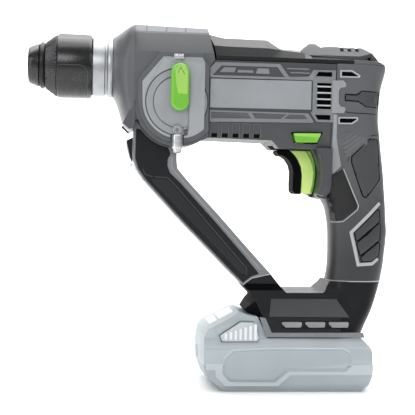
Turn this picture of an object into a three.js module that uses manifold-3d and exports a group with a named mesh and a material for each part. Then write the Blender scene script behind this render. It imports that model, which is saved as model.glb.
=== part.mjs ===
// Cordless rotary hammer with a D-shaped handle and a slide-on battery.
// Millimetres, +Z up. The tool holder points to -X and the battery's flat bottom stands on Z = 0.
import * as THREE from "three";
import { mergeVertices } from "three/addons/utils/BufferGeometryUtils.js";
import Module from "manifold-3d";

// Clearances
const GAP = 0.3; // between pieces that rest on each other
const SPLIT = GAP / 2; // each half of a shell stops this far from the middle plane

// Driving sizes
const BODY_HW = 31; // half the width of the gear case and of the motor body
const GRIP_HW = 17.5; // half the width of the hand grip
const ARM_HW = 17; // half the width of the front arm
const FOOT_HW = 33; // half the width of the battery shoe
const BATTERY_HW = 38; // half the width of the battery
const WALL = 3;
const SPINDLE_Z = 235.4;
const NECK_R = 21.5; // 43 mm collar that a side handle clamps on
const SLEEVE_R = 23.55;
const SOCKET_R = 5.05; // 10 mm tool shank
const CHAMBER_R = 11; // cylinder in which piston and striker run
const SPINDLE_R = CHAMBER_R + 2.5;

// Gear train: rotor pinion -> intermediate gear, intermediate pinion -> spindle gear
const GEAR_MODULE = 1.5;
const SPINDLE_TEETH = 30;
const PINION_TEETH = 12;
const MOTOR_MODULE = 1;
const WHEEL_TEETH = 28;
const ROTOR_TEETH = 8;
const SHAFT_Z = SPINDLE_Z - (GEAR_MODULE * (SPINDLE_TEETH + PINION_TEETH)) / 2;
const MOTOR_Z = SHAFT_Z + (MOTOR_MODULE * (WHEEL_TEETH + ROTOR_TEETH)) / 2;
const WOBBLE_X = -74;

// Mode selector on the near side
const SEL_X = -88.3;
const SEL_Z = 208.5;
const CASE_R = 31.9; // round belly of the gear case about the selector
const COVER_T = 3.3; // thickness of the selector cover
const FACE_Y = -(BODY_HW + COVER_T); // outer face of the selector cover

const wasm = await Module();
wasm.setup();

const group = new THREE.Group();

// ---------- materials ----------
const paint = (color, roughness, metalness = 0) => ({ color, roughness, metalness });
const LIGHT_GREY = paint(0x8f9396, 0.5);
const DARK_GREY = paint(0x515357, 0.6);
const BLACK = paint(0x232427, 0.65);
const RUBBER = paint(0x2b2c2f, 0.85);
const GREEN = paint(0x63b832, 0.4);
const SATIN = paint(0x9b9ea1, 0.35, 0.9);
const STEEL = paint(0xb6b8ba, 0.3, 1);
const BRIGHT = paint(0xe2e4e5, 0.12, 1);
const COPPER = paint(0x8a5a3a, 0.45, 0.8);
const BOARD = paint(0x1f4a34, 0.6);
const PALE = paint(0xb3bcc1, 0.5);
const WHITE = paint(0xe6eaec, 0.45);
const LENS = paint(0xdfe6ea, 0.1);

// ---------- geometry helpers ----------

// Turns every face outwards when the surface was wound the other way.
function outward(geometry) {
  const p = geometry.attributes.position;
  const order = geometry.index.array;
  const [a, b, c] = [new THREE.Vector3(), new THREE.Vector3(), new THREE.Vector3()];
  let volume = 0;
  for (let i = 0; i < order.length; i += 3) {
    a.fromBufferAttribute(p, order[i]);
    b.fromBufferAttribute(p, order[i + 1]);
    c.fromBufferAttribute(p, order[i + 2]);
    volume += a.dot(b.cross(c));
  }
  if (volume < 0) {
    for (let i = 0; i < order.length; i += 3) {
      [order[i + 1], order[i + 2]] = [order[i + 2], order[i + 1]];
    }
  }
  return geometry;
}

// A three.js geometry as a solid for adding and subtracting.
function solid(source) {
  const bare = source.clone();
  bare.deleteAttribute("normal");
  bare.deleteAttribute("uv");
  const g = mergeVertices(bare, 1e-4);
  const kept = [];
  for (let i = 0; i < g.index.count; i += 3) {
    const [a, b, c] = [g.index.getX(i), g.index.getX(i + 1), g.index.getX(i + 2)];
    if (a !== b && b !== c && a !== c) kept.push(a, b, c);
  }
  g.setIndex(kept);
  outward(g);
  return new wasm.Manifold(
    new wasm.Mesh({
      numProp: 3,
      vertProperties: Float32Array.from(g.attributes.position.array),
      triVerts: Uint32Array.from(g.index.array),
    }),
  );
}

const cut = (a, ...tools) => tools.reduce((s, t) => s.subtract(t), a);
const join = (a, ...more) => more.reduce((s, t) => s.add(t), a);
const meet = (a, ...more) => more.reduce((s, t) => s.intersect(t), a);

// Adds a finished solid to the object as a named mesh.
function piece(name, made, look) {
  const mesh = made.getMesh();
  const g = new THREE.BufferGeometry();
  g.setAttribute("position", new THREE.BufferAttribute(new Float32Array(mesh.vertProperties), 3));
  g.setIndex(new THREE.BufferAttribute(new Uint32Array(mesh.triVerts), 1));
  g.computeVertexNormals();
  const node = new THREE.Mesh(g, new THREE.MeshStandardMaterial(look));
  node.name = name;
  group.add(node);
  return made;
}

// Points of an arc, angles in degrees, both ends included.
function arc(cx, cy, r, from, to, steps) {
  return Array.from({ length: steps + 1 }, (_, i) => {
    const a = THREE.MathUtils.degToRad(from + ((to - from) * i) / steps);
    return [cx + r * Math.cos(a), cy + r * Math.sin(a)];
  });
}

const outline = (points) => new THREE.Shape(points.map(([x, y]) => new THREE.Vector2(x, y)));

// Extrudes an outline by depth along +Z, with edges taken off by `edge` inside the outline.
function prism(points, depth, edge = 0, steps = 1) {
  return new THREE.ExtrudeGeometry(outline(points), {
    depth: depth - 2 * edge,
    bevelEnabled: edge > 0,
    bevelThickness: edge,
    bevelSize: edge,
    bevelOffset: -edge,
    bevelSegments: steps,
  }).translate(0, 0, edge);
}

// Side outline in X and Z, reaching from y0 to y1.
function slab(points, y0, y1, edge = 0, steps = 1) {
  return solid(prism(points, y1 - y0, edge, steps).rotateX(Math.PI / 2).translate(0, y1, 0));
}

// Cross outline in Y and Z, reaching from x0 to x1.
function bar(points, x0, x1, edge = 0) {
  const g = prism(points, x1 - x0, edge);
  g.applyMatrix4(new THREE.Matrix4().set(0, 0, 1, x0, 1, 0, 0, 0, 0, 1, 0, 0, 0, 0, 0, 1));
  return solid(g);
}

// Plan outline in X and Y, reaching from z0 to z1.
const plate = (points, z0, z1, edge = 0) => solid(prism(points, z1 - z0, edge).translate(0, 0, z0));

function box(x0, x1, y0, y1, z0, z1) {
  const g = new THREE.BoxGeometry(x1 - x0, y1 - y0, z1 - z0);
  return solid(g.translate((x0 + x1) / 2, (y0 + y1) / 2, (z0 + z1) / 2));
}

// Round piece about a line along X at height z; the profile is [x, radius].
function turnedX(profile, z, segments = 24) {
  const g = new THREE.LatheGeometry(profile.map(([x, r]) => new THREE.Vector2(r, x)), segments);
  return solid(g.rotateZ(-Math.PI / 2).translate(0, 0, z));
}

const rodX = (x0, x1, r, z, segments = 24) =>
  turnedX([[x0, 0], [x0, r], [x1, r], [x1, 0]], z, segments);

const tubeX = (x0, x1, inner, outer, z, segments = 24) =>
  turnedX([[x0, inner], [x0, outer], [x1, outer], [x1, inner], [x0, inner]], z, segments);

function rodY(x, z, r, y0, y1, segments = 24) {
  return solid(new THREE.CylinderGeometry(r, r, y1 - y0, segments).translate(x, (y0 + y1) / 2, z));
}

function turnedZ(profile, x, y, segments = 20) {
  const g = new THREE.LatheGeometry(profile.map(([z, r]) => new THREE.Vector2(r, z)), segments);
  return solid(g.rotateX(Math.PI / 2).translate(x, y, 0));
}

const ball = (x, y, z, r, w = 16, h = 10) =>
  solid(new THREE.SphereGeometry(r, w, h).translate(x, y, z));

// Skin through loops of the same number of points, closed by a flat end on each side.
function loft(loops) {
  const n = loops[0].length;
  const at = loops.flat(2);
  const order = [];
  for (let k = 0; k + 1 < loops.length; k++) {
    for (let i = 0; i < n; i++) {
      const j = (i + 1) % n;
      const [a, b, c, d] = [k * n + i, k * n + j, (k + 1) * n + j, (k + 1) * n + i];
      order.push(a, b, c, a, c, d);
    }
  }
  const ends = [0, loops.length - 1];
  ends.forEach((k) => {
    const centre = at.length / 3;
    for (let axis = 0; axis < 3; axis++) {
      at.push(loops[k].reduce((sum, p) => sum + p[axis], 0) / n);
    }
    for (let i = 0; i < n; i++) {
      const [a, b] = [k * n + i, k * n + ((i + 1) % n)];
      order.push(...(k === 0 ? [centre, b, a] : [centre, a, b]));
    }
  });
  const g = new THREE.BufferGeometry();
  g.setAttribute("position", new THREE.Float32BufferAttribute(at, 3));
  g.setIndex(order);
  return solid(g);
}

// Rounded loop: power 2 is an ellipse, higher powers are nearer a rectangle.
function roundLoop(c1, c2, r1, r2, power, count) {
  return Array.from({ length: count }, (_, i) => {
    const a = (2 * Math.PI * (i + 0.5)) / count;
    const [c, s] = [Math.cos(a), Math.sin(a)];
    const bend = (v) => Math.sign(v) * Math.abs(v) ** (2 / power);
    return [c1 + r1 * bend(c), c2 + r2 * bend(s)];
  });
}

// Strip of constant width along a line of points in X and Z.
function ribbon(points, half) {
  const side = (k, sign) => {
    const before = points[Math.max(k - 1, 0)];
    const after = points[Math.min(k + 1, points.length - 1)];
    const dir = new THREE.Vector2(after[0] - before[0], after[1] - before[1]).normalize();
    return [points[k][0] - dir.y * half * sign, points[k][1] + dir.x * half * sign];
  };
  const up = points.map((_, k) => side(k, 1));
  const down = points.map((_, k) => side(k, -1)).reverse();
  return [...up, ...down];
}

// Spur gear outline with straight-flanked teeth; the first tooth is centred at `turn` degrees.
function toothOutline(teeth, module, turn) {
  const pitch = (module * teeth) / 2;
  const [tip, root] = [pitch + 0.8 * module, pitch - 1.1 * module];
  const step = 360 / teeth;
  const points = [];
  for (let i = 0; i < teeth; i++) {
    const mid = turn + i * step;
    const corners = [[root, -0.31], [tip, -0.11], [tip, 0.11], [root, 0.31]];
    corners.forEach(([r, part]) => {
      const a = THREE.MathUtils.degToRad(mid + part * step);
      points.push([r * Math.cos(a), r * Math.sin(a)]);
    });
  }
  return points;
}

const gear = (teeth, module, turn, x0, x1, z) =>
  bar(toothOutline(teeth, module, turn).map(([y, h]) => [y, z + h]), x0, x1);

// The two halves of a shell that is split along the middle plane.
function halves(name, whole, look) {
  const far = 500;
  piece(name + "_left", meet(whole, box(-far, far, -far, -SPLIT, -far, far)), look);
  piece(name + "_right", meet(whole, box(-far, far, SPLIT, far, -far, far)), look);
}

const mirrored = (made) => made.mirror([0, 1, 0]);

// ---------- tool holder ----------
function toolHolder() {
  const cap = [[-198, SOCKET_R + 0.6], [-198, 12.9], [-197.2, 13.6], [-189.7, 16.4],
    [-189.7, SOCKET_R + 4.8], [-192.5, SOCKET_R + 4.8], [-192.5, SOCKET_R + 0.6], [-198, SOCKET_R + 0.6]];
  piece("dust_cap", turnedX(cap, SPINDLE_Z, 28), RUBBER);
  const ring = [[-189.4, 9.8], [-189.4, 16.4], [-188.6, 17.2], [-186.3, 17.2], [-185.5, 16.6],
    [-185.5, 9.8], [-189.4, 9.8]];
  piece("retaining_ring", turnedX(ring, SPINDLE_Z, 28), BLACK);
  const cone = [[-185.2, 14.5], [-185.2, 17.4], [-177.1, 23.1], [-177.1, 20.5], [-185.2, 14.5]];
  piece("grip_cone", turnedX(cone, SPINDLE_Z, 32), BLACK);
  const inner = NECK_R + 0.45;
  const sleeve = [[-176.8, 10.2], [-176.8, 22.8], [-176, SLEEVE_R], [-152.3, SLEEVE_R],
    [-151.5, 23], [-151.5, inner], [-164, inner], [-164, 18.5], [-173.5, 18.5], [-173.5, 10.2],
    [-176.8, 10.2]];
  piece("locking_sleeve", turnedX(sleeve, SPINDLE_Z, 32), BLACK);
  piece("chuck_spring", chuckSpring(), STEEL);
  piece("lock_ball_top", ball(-167, 0, SPINDLE_Z + 7.4, 2.4, 12, 8), BRIGHT);
  piece("lock_ball_bottom", ball(-167, 0, SPINDLE_Z - 7.4, 2.4, 12, 8), BRIGHT);
}

// Compression spring round the spindle that pushes the sleeve forward.
function chuckSpring() {
  const [turns, r, x0, x1] = [3.5, 12.6, -171.5, -152.8];
  const path = new THREE.CatmullRomCurve3(
    Array.from({ length: 37 }, (_, i) => {
      const a = (i / 36) * turns * 2 * Math.PI;
      return new THREE.Vector3(x0 + ((x1 - x0) * i) / 36, r * Math.cos(a), SPINDLE_Z + r * Math.sin(a));
    }),
  );
  const wire = outline(arc(0, 0, 0.9, 0, 288, 4));
  return solid(new THREE.ExtrudeGeometry(wire, { steps: 36, extrudePath: path, bevelEnabled: false }));
}

// ---------- spindle and hammer mechanism ----------
function spindle() {
  const profile = [[-187, SOCKET_R], [-187, 9.4], [-151, 9.4], [-151, 11], [-136, 11], [-136, 12.6],
    [-124, 12.6], [-124, SPINDLE_R], [-87, SPINDLE_R], [-87, CHAMBER_R], [-122, CHAMBER_R],
    [-122, 7.3], [-140, 7.3], [-140, SOCKET_R], [-187, SOCKET_R]];
  const windows = box(-169.8, -164.2, -2.8, 2.8, SPINDLE_Z - 14, SPINDLE_Z + 14);
  piece("spindle", cut(turnedX(profile, SPINDLE_Z), windows), STEEL);
  const wheel = gear(SPINDLE_TEETH, GEAR_MODULE, 0, -110.5, -102.5, SPINDLE_Z);
  piece("spindle_gear", cut(wheel, rodX(-112, -101, SPINDLE_R + GAP, SPINDLE_Z)), STEEL);
  piece("spindle_bearing", tubeX(-148.8, -140, 11 + GAP, 17, SPINDLE_Z), STEEL);
  const bolt = [[-142, 0], [-142, 4.4], [-136.4, 4.4], [-135, 7], [-126, 7], [-124.6, 5],
    [-122.6, 5], [-122.6, 0]];
  piece("impact_bolt", turnedX(bolt, SPINDLE_Z, 24), STEEL);
  const striker = [[-120, 0], [-120, 5.5], [-117, 5.5], [-116, CHAMBER_R - 0.25],
    [-107.5, CHAMBER_R - 0.25], [-107.5, 0]];
  piece("striker", turnedX(striker, SPINDLE_Z, 24), STEEL);
}

function piston() {
  const head = rodX(-100, -83, CHAMBER_R - 0.25, SPINDLE_Z, 24);
  const lug = box(-84, -68.5, -5.6, 5.6, SPINDLE_Z - 5, SPINDLE_Z + 5);
  const eye = turnedZ([[-7, 0], [-7, 3.6], [7, 3.6], [7, 0]], 0, 0).translate([WOBBLE_X, 0, SPINDLE_Z]);
  piece("piston", cut(join(head, lug), eye), STEEL);
}

// Rocking ring with the pin that drives the piston back and forth.
function wobbleRing() {
  const ring = tubeX(WOBBLE_X - 4.5, WOBBLE_X + 4.5, 11.5, 15.5, SHAFT_Z, 28);
  const pin = turnedZ([[SHAFT_Z + 13.5, 0], [SHAFT_Z + 13.5, 2], [SPINDLE_Z, 2], [SPINDLE_Z, 0]],
    WOBBLE_X, 0, 12);
  piece("wobble_ring", join(ring, pin, ball(WOBBLE_X, 0, SPINDLE_Z, 2.8, 12, 8)), STEEL);
}

function intermediateShaft() {
  const shaft = rodX(-114.5, -50, 3.9, SHAFT_Z, 16);
  const hub = ball(0, 0, 0, 10.6, 16, 10).translate([WOBBLE_X, 0, SHAFT_Z]);
  const pinion = gear(PINION_TEETH, GEAR_MODULE, 0, -111.5, -101.5, SHAFT_Z);
  piece("intermediate_shaft", join(shaft, hub, pinion), STEEL);
  const wheel = gear(WHEEL_TEETH, MOTOR_MODULE, 0, -62, -56, SHAFT_Z);
  piece("intermediate_gear", cut(wheel, rodX(-63, -55, 3.9 + GAP, SHAFT_Z, 16)), STEEL);
}

// ---------- motor ----------
function motor() {
  const shaft = rodX(-62.5, 19, 3, MOTOR_Z, 16);
  const pinion = gear(ROTOR_TEETH, MOTOR_MODULE, 180 / ROTOR_TEETH, -62.5, -55.7, MOTOR_Z);
  piece("rotor_shaft", join(shaft, pinion), STEEL);
  piece("rotor_core", cut(rotorCore(), rodX(-50, 0, 3 + GAP, MOTOR_Z, 16)), SATIN);
  piece("stator", tubeX(-44, -8, 12.6, 24, MOTOR_Z), COPPER);
  piece("cooling_fan", cut(fan(), rodX(-6, 10, 3 + GAP, MOTOR_Z, 16)), BLACK);
  piece("motor_bearing", tubeX(-54, -49, 3 + GAP, 8, MOTOR_Z, 24), STEEL);
  const cover = bar([[-24, 191], [24, 191], [27, 199], [27, 238], [-27, 238], [-27, 199]], -54, -49);
  const seats = join(rodX(-60, -40, 8 + GAP, MOTOR_Z, 24), rodX(-60, -40, 3.9 + GAP, SHAFT_Z, 16));
  piece("bearing_plate", cut(cover, seats), SATIN);
}

// Rotor with six poles parted by grooves.
function rotorCore() {
  const grooves = [0, 60, 120, 180, 240, 300].map((turn) => {
    const mid = THREE.MathUtils.degToRad(turn);
    const at = [11.8 * Math.cos(mid), MOTOR_Z + 11.8 * Math.sin(mid)];
    return rodX(-46, -6, 1.4, 0, 8).translate([0, at[0], at[1]]);
  });
  return cut(rodX(-44, -8, 11.8, MOTOR_Z, 30), ...grooves);
}

function fan() {
  const points = [];
  for (let i = 0; i < 9; i++) {
    const corners = [[6.5, 0], [20.5, 8], [20.5, 14], [6.5, 12]];
    corners.forEach(([r, turn]) => {
      const a = THREE.MathUtils.degToRad(i * 40 + turn);
      points.push([r * Math.cos(a), MOTOR_Z + r * Math.sin(a)]);
    });
  }
  return bar(points, -3.5, 4);
}

// ---------- gear case ----------
function gearCase() {
  const side = [[-121.5, 261], [-120.9, 265.8], [-67.2, 264.2], [-62.8, 240], [-66.8, 234],
    [-66.8, 185], ...arc(SEL_X, SEL_Z, CASE_R, -47.5, -180, 16), [-121.5, 212]];
  const w = BODY_HW;
  const cross = [[-w, 170], [w, 170], [w, 244.5], [w - 9, 259], [w - 17, 266.6], [17 - w, 266.6],
    [9 - w, 259], [-w, 244.5]];
  const shell = join(meet(slab(side, -w - 1, w + 1), bar(cross, -130, -50)), flare());
  const room = [[-116.9, 243], [-40, 243], [-40, 187.5], [-66, 187.5], [-72, 185], [-100, 185],
    [-104, 186.5], [-112, 192], [-115.5, 198], [-116.9, 206]];
  const hollow = join(
    slab(room, WALL - w, w - WALL),
    rodX(-116.9, -40, 25.6, SPINDLE_Z, 40),
    rodX(-140, -110, SPINDLE_R + 1.2, SPINDLE_Z),
  );
  piece("gear_case", cut(shell, hollow), LIGHT_GREY);
  const neck = [[-151.2, 21], [-150.7, NECK_R], [-142, NECK_R], [-141.6, 20.2],
    [-140.2, 20.2], [-139.8, 22.2], [-135.9, 22.2], [-135.9, 14.7], [-139.7, 14.7], [-139.7, 17.3],
    [-151.2, 17.3], [-151.2, 21]];
  piece("neck_collar", turnedX(neck, SPINDLE_Z, 32), SATIN);
}

// Cast transition from the round neck to the square front of the gear case, with a chin below.
function flare() {
  const w = BODY_HW;
  const stations = [
    [-135.6, 257.8, 213, 22.4, 2],
    [-131.5, 260.4, 202.5, 25.5, 2.4],
    [-128.5, 262.2, 193.2, w - 3, 3],
    [-125, 264.2, 190, w - 1.5, 4],
    [-121, 265.6, 188, w, 5],
  ];
  return loft(
    stations.map(([x, top, bottom, half, power]) =>
      roundLoop(0, (top + bottom) / 2, half, (top - bottom) / 2, power, 28).map(([y, z]) => [x, y, z]),
    ),
  );
}

// ---------- mode selector ----------
function selector() {
  const rim = [[-102.5, 244.2], [-118.2, 224.2], [-117.7, SEL_Z],
    ...arc(SEL_X, SEL_Z, CASE_R - 2.5, -180, -43, 14), [-66.9, 196], [-66.9, 233], [-71, 241],
    [-72.5, 244.2]];
  const back = -BODY_HW - GAP;
  const window = arc(SEL_X, SEL_Z, 20.9, 73, 287, 16);
  const ledge = slab(arc(SEL_X, SEL_Z, 25, 76, 284, 18), FACE_Y - 1, FACE_Y + 1.4);
  const cover = slab(rim, FACE_Y, back, 0.8);
  const notch = box(-94.2, -84.6, FACE_Y - 1, back + 1, 170, 185.2);
  const pocket = rodY(SEL_X, SEL_Z, 20.9, FACE_Y + 1.2, back + 1, 28);
  piece("selector_cover", cut(cover, pocket, ledge, slab(window, FACE_Y - 1, back), notch), LIGHT_GREY);
  piece("selector_disc", rodY(SEL_X, SEL_Z, 20.4, FACE_Y + 1.5, back - 0.05, 28), LIGHT_GREY);
  const lever = [...arc(SEL_X, SEL_Z, 6.7, 180, 360, 10), ...arc(SEL_X, SEL_Z + 20.6, 6.7, 0, 180, 10)];
  const grip = slab(lever, FACE_Y - 6.4, FACE_Y - GAP, 1.4, 2);
  piece("selector_lever", join(grip, rodY(SEL_X, SEL_Z, 5.4, FACE_Y - 1, FACE_Y + 1.2, 20)), GREEN);
  const stud = [[-92.8, 239], [-85.8, 239], [-85.8, 242.5], [-92.8, 242.5]];
  piece("upper_stud", slab(stud, FACE_Y - 2.4, FACE_Y - GAP, 0.6), BRIGHT);
  const clamp = [[171.5, 0], [171.5, 2.4], [173.6, 2.8], [173.6, 3.4], [176.6, 3.4], [176.6, 3.9],
    [184.7, 3.9], [184.7, 0]];
  piece("clamp_bolt", turnedZ(clamp, -89.4, back - 4.1, 18), BRIGHT);
}

// ---------- motor body ----------

// Outline of the flank between trigger and hand grip.
const BACK_X = 27;
const flank = () => [[-8, 181], [11.5, 178.4], [14.8, 172], [17, 166], [18, 160], [17, 151], [15.5, 143.3],
  [18, 141.6], [24, 140.3], [BACK_X, 140.3], [BACK_X, 190], [-8, 190]];

function body() {
  const w = BODY_HW;
  const side = [[-62.3, 240], [-66.5, 233.8], [-66.5, 183.7], [-19.5, 182.8], [-14.1, 177.4],
    [BACK_X, 177.4], [BACK_X, 240]];
  const section = (inset, low) => [[-w + inset, 260], [-w + inset, 198], [6 - w + inset, low],
    [w - 6 - inset, low], [w - inset, 198], [w - inset, 260]];
  const lower = slab(flank(), -ARM_HW - 2, ARM_HW + 2, 2.5);
  const shell = join(meet(slab(side, -w - 1, w + 1), bar(section(0, 176), -80, 40)), lower);
  const room = meet(
    slab([[-90, 250], [-90, 187], [-20, 187], [-16, 181], [40, 181], [40, 250]], -w, w),
    bar(section(WALL, 179), -90, 40),
  );
  const pocket = box(-10, 60, -10.4, 10.4, 143.2, 185);
  const shoeRoom = box(-20, BACK_X + 5, -ARM_HW + 1, ARM_HW - 1, 150, 176);
  const way = meet(shoeRoom, slab([[20, 190], [20, 148], [40, 148], [40, 190]], -60, 60));
  const mouth = box(-30, 19, -10.4, 10.4, 130, 180);
  const parts = [room, pocket, way, mouth, ...vents(w), buttonWay(), screwWay(...SCREWS.screw_body)];
  halves("body", cut(shell, ...parts), LIGHT_GREY);
}

// Cooling slots: five below the motor, five beside the brushes and four round the rear bearing.
function vents(w) {
  const through = (points) => slab(points, -w - 2, w + 2);
  const rect = (x0, x1, z0, z1) => through([[x0, z0], [x1, z0], [x1, z1], [x0, z1]]);
  const low = [0, 1, 2, 3, 4].map((i) => rect(-64 + i * 7.8, -59.2 + i * 7.8, 186.8, 190.2));
  const slats = [0, 1, 2, 3, 4].map((i) => rect(12.6, 22.9, 206.6 + i * 4.1, 209.3 + i * 4.1));
  const over = through([[11.2, 230.6], [23.6, 230.6], [23.6, 233.8], [13, 233.8]]);
  const under = through([[12.6, 198.8], [22.8, 198.8], [22.8, 202.5], [11, 202.5]]);
  return [...low, ...slats, over, under];
}

const button = (grow) => [[-4.9 - 1.4 * grow, 188.8 + grow], [17.5 + 1.6 * grow, 189 + grow],
  [13.6 + 0.8 * grow, 181.6 - grow], [-1.8 - 0.8 * grow, 181.4 - grow]];

const buttonWay = () => slab(button(GAP), -BODY_HW - 5, BODY_HW + 5);

// Soft black cover over the motor, running back to the hand grip's heel.
function topCovers() {
  const w = BODY_HW;
  const side = [[-66.1, 261.4], [-62.2, 260.6], [-54.5, 258.2], [-22.5, 257.9], [-13.2, 251.9], [3.5, 251.2],
    [9, 249.6], [60.5, 245.2], [66.2, 243], [69, 240.3], [-62.1, 240.3]];
  const cross = [[-w, 239], [w, 239], [w, 243], [w - 5, 252], [w - 15, 262], [w - 18, 266],
    [18 - w, 266], [15 - w, 262], [5 - w, 252], [-w, 243]];
  const plan = join(
    box(-90, 34, -60, 60, 230, 270),
    gripLoft(0, [[230, -0.5, 69, BODY_HW / GRIP_HW, 3.2], [270, -0.5, 69, BODY_HW / GRIP_HW, 3.2]], 24),
  );
  const cap = meet(slab(side, -w - 1, w + 1), bar(cross, -80, 90), plan);
  const room = join(rodX(-80, -4, 25.2, MOTOR_Z, 32), box(-4, 56, WALL + 1.5 - w, w - WALL - 1.5, 230, 242.6));
  piece("top_cap", cut(cap, room), BLACK);
  const roof = [[4.2, 252], [8.8, 256.2], [13.8, 256.3], [17, 252.9], [23, 254.2], [48.4, 253.9], [60.9, 246],
    [60.2, 245.6], [9.2, 250], [3.6, 251.9]];
  const slats = [0, 1, 2].map((i) => box(31 + i * 5.7, 34 + i * 5.7, -40, 40, 251.4, 260));
  const lid = meet(slab(roof, 7 - w, w - 7), bar([[-w, 240], [w, 240], [w - 7, 250.5], [w - 13, 256.6],
    [13 - w, 256.6], [7 - w, 250.5]], 0, 80));
  const middle = meet(lid, box(0, 80, 14 - w, w - 14, 240, 253.4));
  piece("rear_top_cover", join(cut(lid, ...slats), middle), DARK_GREY);
}

// ---------- hand grip ----------
const GRIP_STATIONS = [
  // height, front, back, half width against GRIP_HW, squareness
  [79.5, 28.3, 70.2, 1.0, 2.5],
  [90, 29.8, 72.2, 0.98, 2.4],
  [100, 30.1, 73.3, 0.97, 2.4],
  [115.5, 29.8, 74.5, 1.0, 2.4],
  [127, 28.4, 73.6, 1.03, 2.4],
  [137, 25.6, 72.9, 1.07, 2.5],
  [147, 18, 71.8, 1.14, 2.6],
  [160, 10, 70.3, 1.28, 2.8],
  [178, 4, 67.3, 1.52, 3],
  [190, 0, 65.4, 1.7, 3.1],
  [200, 0, 63.9, 1.77, 3.2],
  [212, 0, 64.2, 1.77, 3.2],
  [224, 0, 65.4, 1.77, 3.2],
  [234.6, 0, 68.2, 1.77, 3.2],
  [239.9, 0, 68.7, 1.77, 3.2],
];

function gripLoft(inset, stations, count) {
  return loft(
    stations.map(([z, front, back, half, power]) =>
      roundLoop((front + back) / 2, 0, (back - front) / 2 - inset, GRIP_HW * half - inset, power, count)
        .map(([x, y]) => [x, y, z]),
    ),
  );
}

function grip() {
  const outer = gripLoft(0, GRIP_STATIONS, 24);
  const front = join(box(-60, BACK_X + GAP, -60, 60, 140, 260), box(-60, 20, -60, 60, 70, 260));
  const inner = GRIP_STATIONS.map(([z, ...rest], i) => {
    const end = i === 0 ? -3 : i === GRIP_STATIONS.length - 1 ? 3 : 0;
    return [z + end, ...rest];
  });
  const room = gripLoft(WALL, inner.filter((_, i) => i % 2 === 1 || i === 0), 16);
  const rect = (x0, x1, z0, z1) => slab([[x0, z0], [x1 - 3, z0], [x1, z1], [x0, z1]], -60, 60);
  const holes = [rect(30.6, 43.2, 231.2, 234.6), rect(30.2, 43, 197, 200.2)];
  halves("grip", cut(outer, front, room, ...holes, screwWay(...SCREWS.screw_grip)), DARK_GREY);
}

// ---------- front arm ----------
const ARM_LINE = [[-104, 176], [-103.6, 164], [-98.5, 153.5], [-30, 82]];

const armOutline = () => [[-119.7, 194.8], [-120.2, 188], [-120, 167.4], [-117.5, 159.6], [-112.1, 152],
  [-84.5, 122.7], [-47.2, 85.4], [-37.2, 75.9], [-30.7, 81.1], [-16.6, 84.4], [-33, 101.9],
  [-55.1, 126.1], [-80.5, 152.9], [-87.6, 161.2], [-88.2, 166],
  ...arc(SEL_X, SEL_Z, CASE_R + GAP, -90, -154.5, 10)];

const inlayOutline = (grow) => [[-118.2 - grow, 189.6 + grow], [-118.4 - grow, 168], [-116 - grow, 160.4],
  [-110.9 - grow, 153.3 - grow], [-83.6 - grow, 124.2 - grow], [-38.6 - grow, 79.2 - grow],
  [-36.9, 77.9 - grow], [-31.2 + grow, 82.2], [-25.4 + grow, 84.2], [-37.3 + grow, 98 + grow],
  [-59.4 + grow, 122.6 + grow], [-84.8 + grow, 149.8 + grow], [-93.2 + grow, 157.6 + grow],
  [-95.2 + grow, 163], [-95 + grow, 168], [-93 + grow, 171.4 + grow],
  ...arc(SEL_X, SEL_Z, CASE_R + 1.2 - grow, -101, -144, 5)];

function arm() {
  const whole = slab(armOutline(), -ARM_HW, ARM_HW);
  const room = slab(ribbon(ARM_LINE, 6.5), 4.5 - ARM_HW, ARM_HW - 4.5);
  const near = slab(inlayOutline(GAP), -ARM_HW - 1, -ARM_HW + 1.4);
  halves("arm", cut(whole, room, near, mirrored(near), screwWay(...SCREWS.screw_arm)), LIGHT_GREY);
  const inlay = slab(inlayOutline(0), -ARM_HW - 0.5, -ARM_HW + 1.4 - GAP);
  piece("arm_inlay_left", inlay, BLACK);
  piece("arm_inlay_right", cut(mirrored(inlay), screwWay(...SCREWS.screw_arm)), BLACK);
  const lamp = [[-125.3, 181.1], [-120.6, 183.6], [-120.6, 165.6], [-121, 165.2]];
  piece("work_light", slab(lamp, -8, 8), BLACK);
  const lens = [[-125.3, 179.7], [-126.1, 179.5], [-122.7, 167.5], [-121.9, 167.5]];
  piece("work_light_lens", slab(lens, -6, 6), LENS);
}

// ---------- battery shoe ----------
const footOutline = () => [[-37, 75.6], [-30.6, 80.7], [-16.4, 84], [-5.3, 71], [22.5, 71.2], [28.2, 79.2],
  [70.9, 79.2], [69.5, 65.4], [65.5, 53.8], [58.4, 41.4], [52.9, 39.2], [-19.6, 39.2], [-26.4, 54.6],
  [-33.2, 55.4], [-35.6, 57.2], [-31, 62.5], [-27.4, 66.4]];

const RAIL = { neck: 18, ear: 22, low: 43.2, top: 47 };

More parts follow.
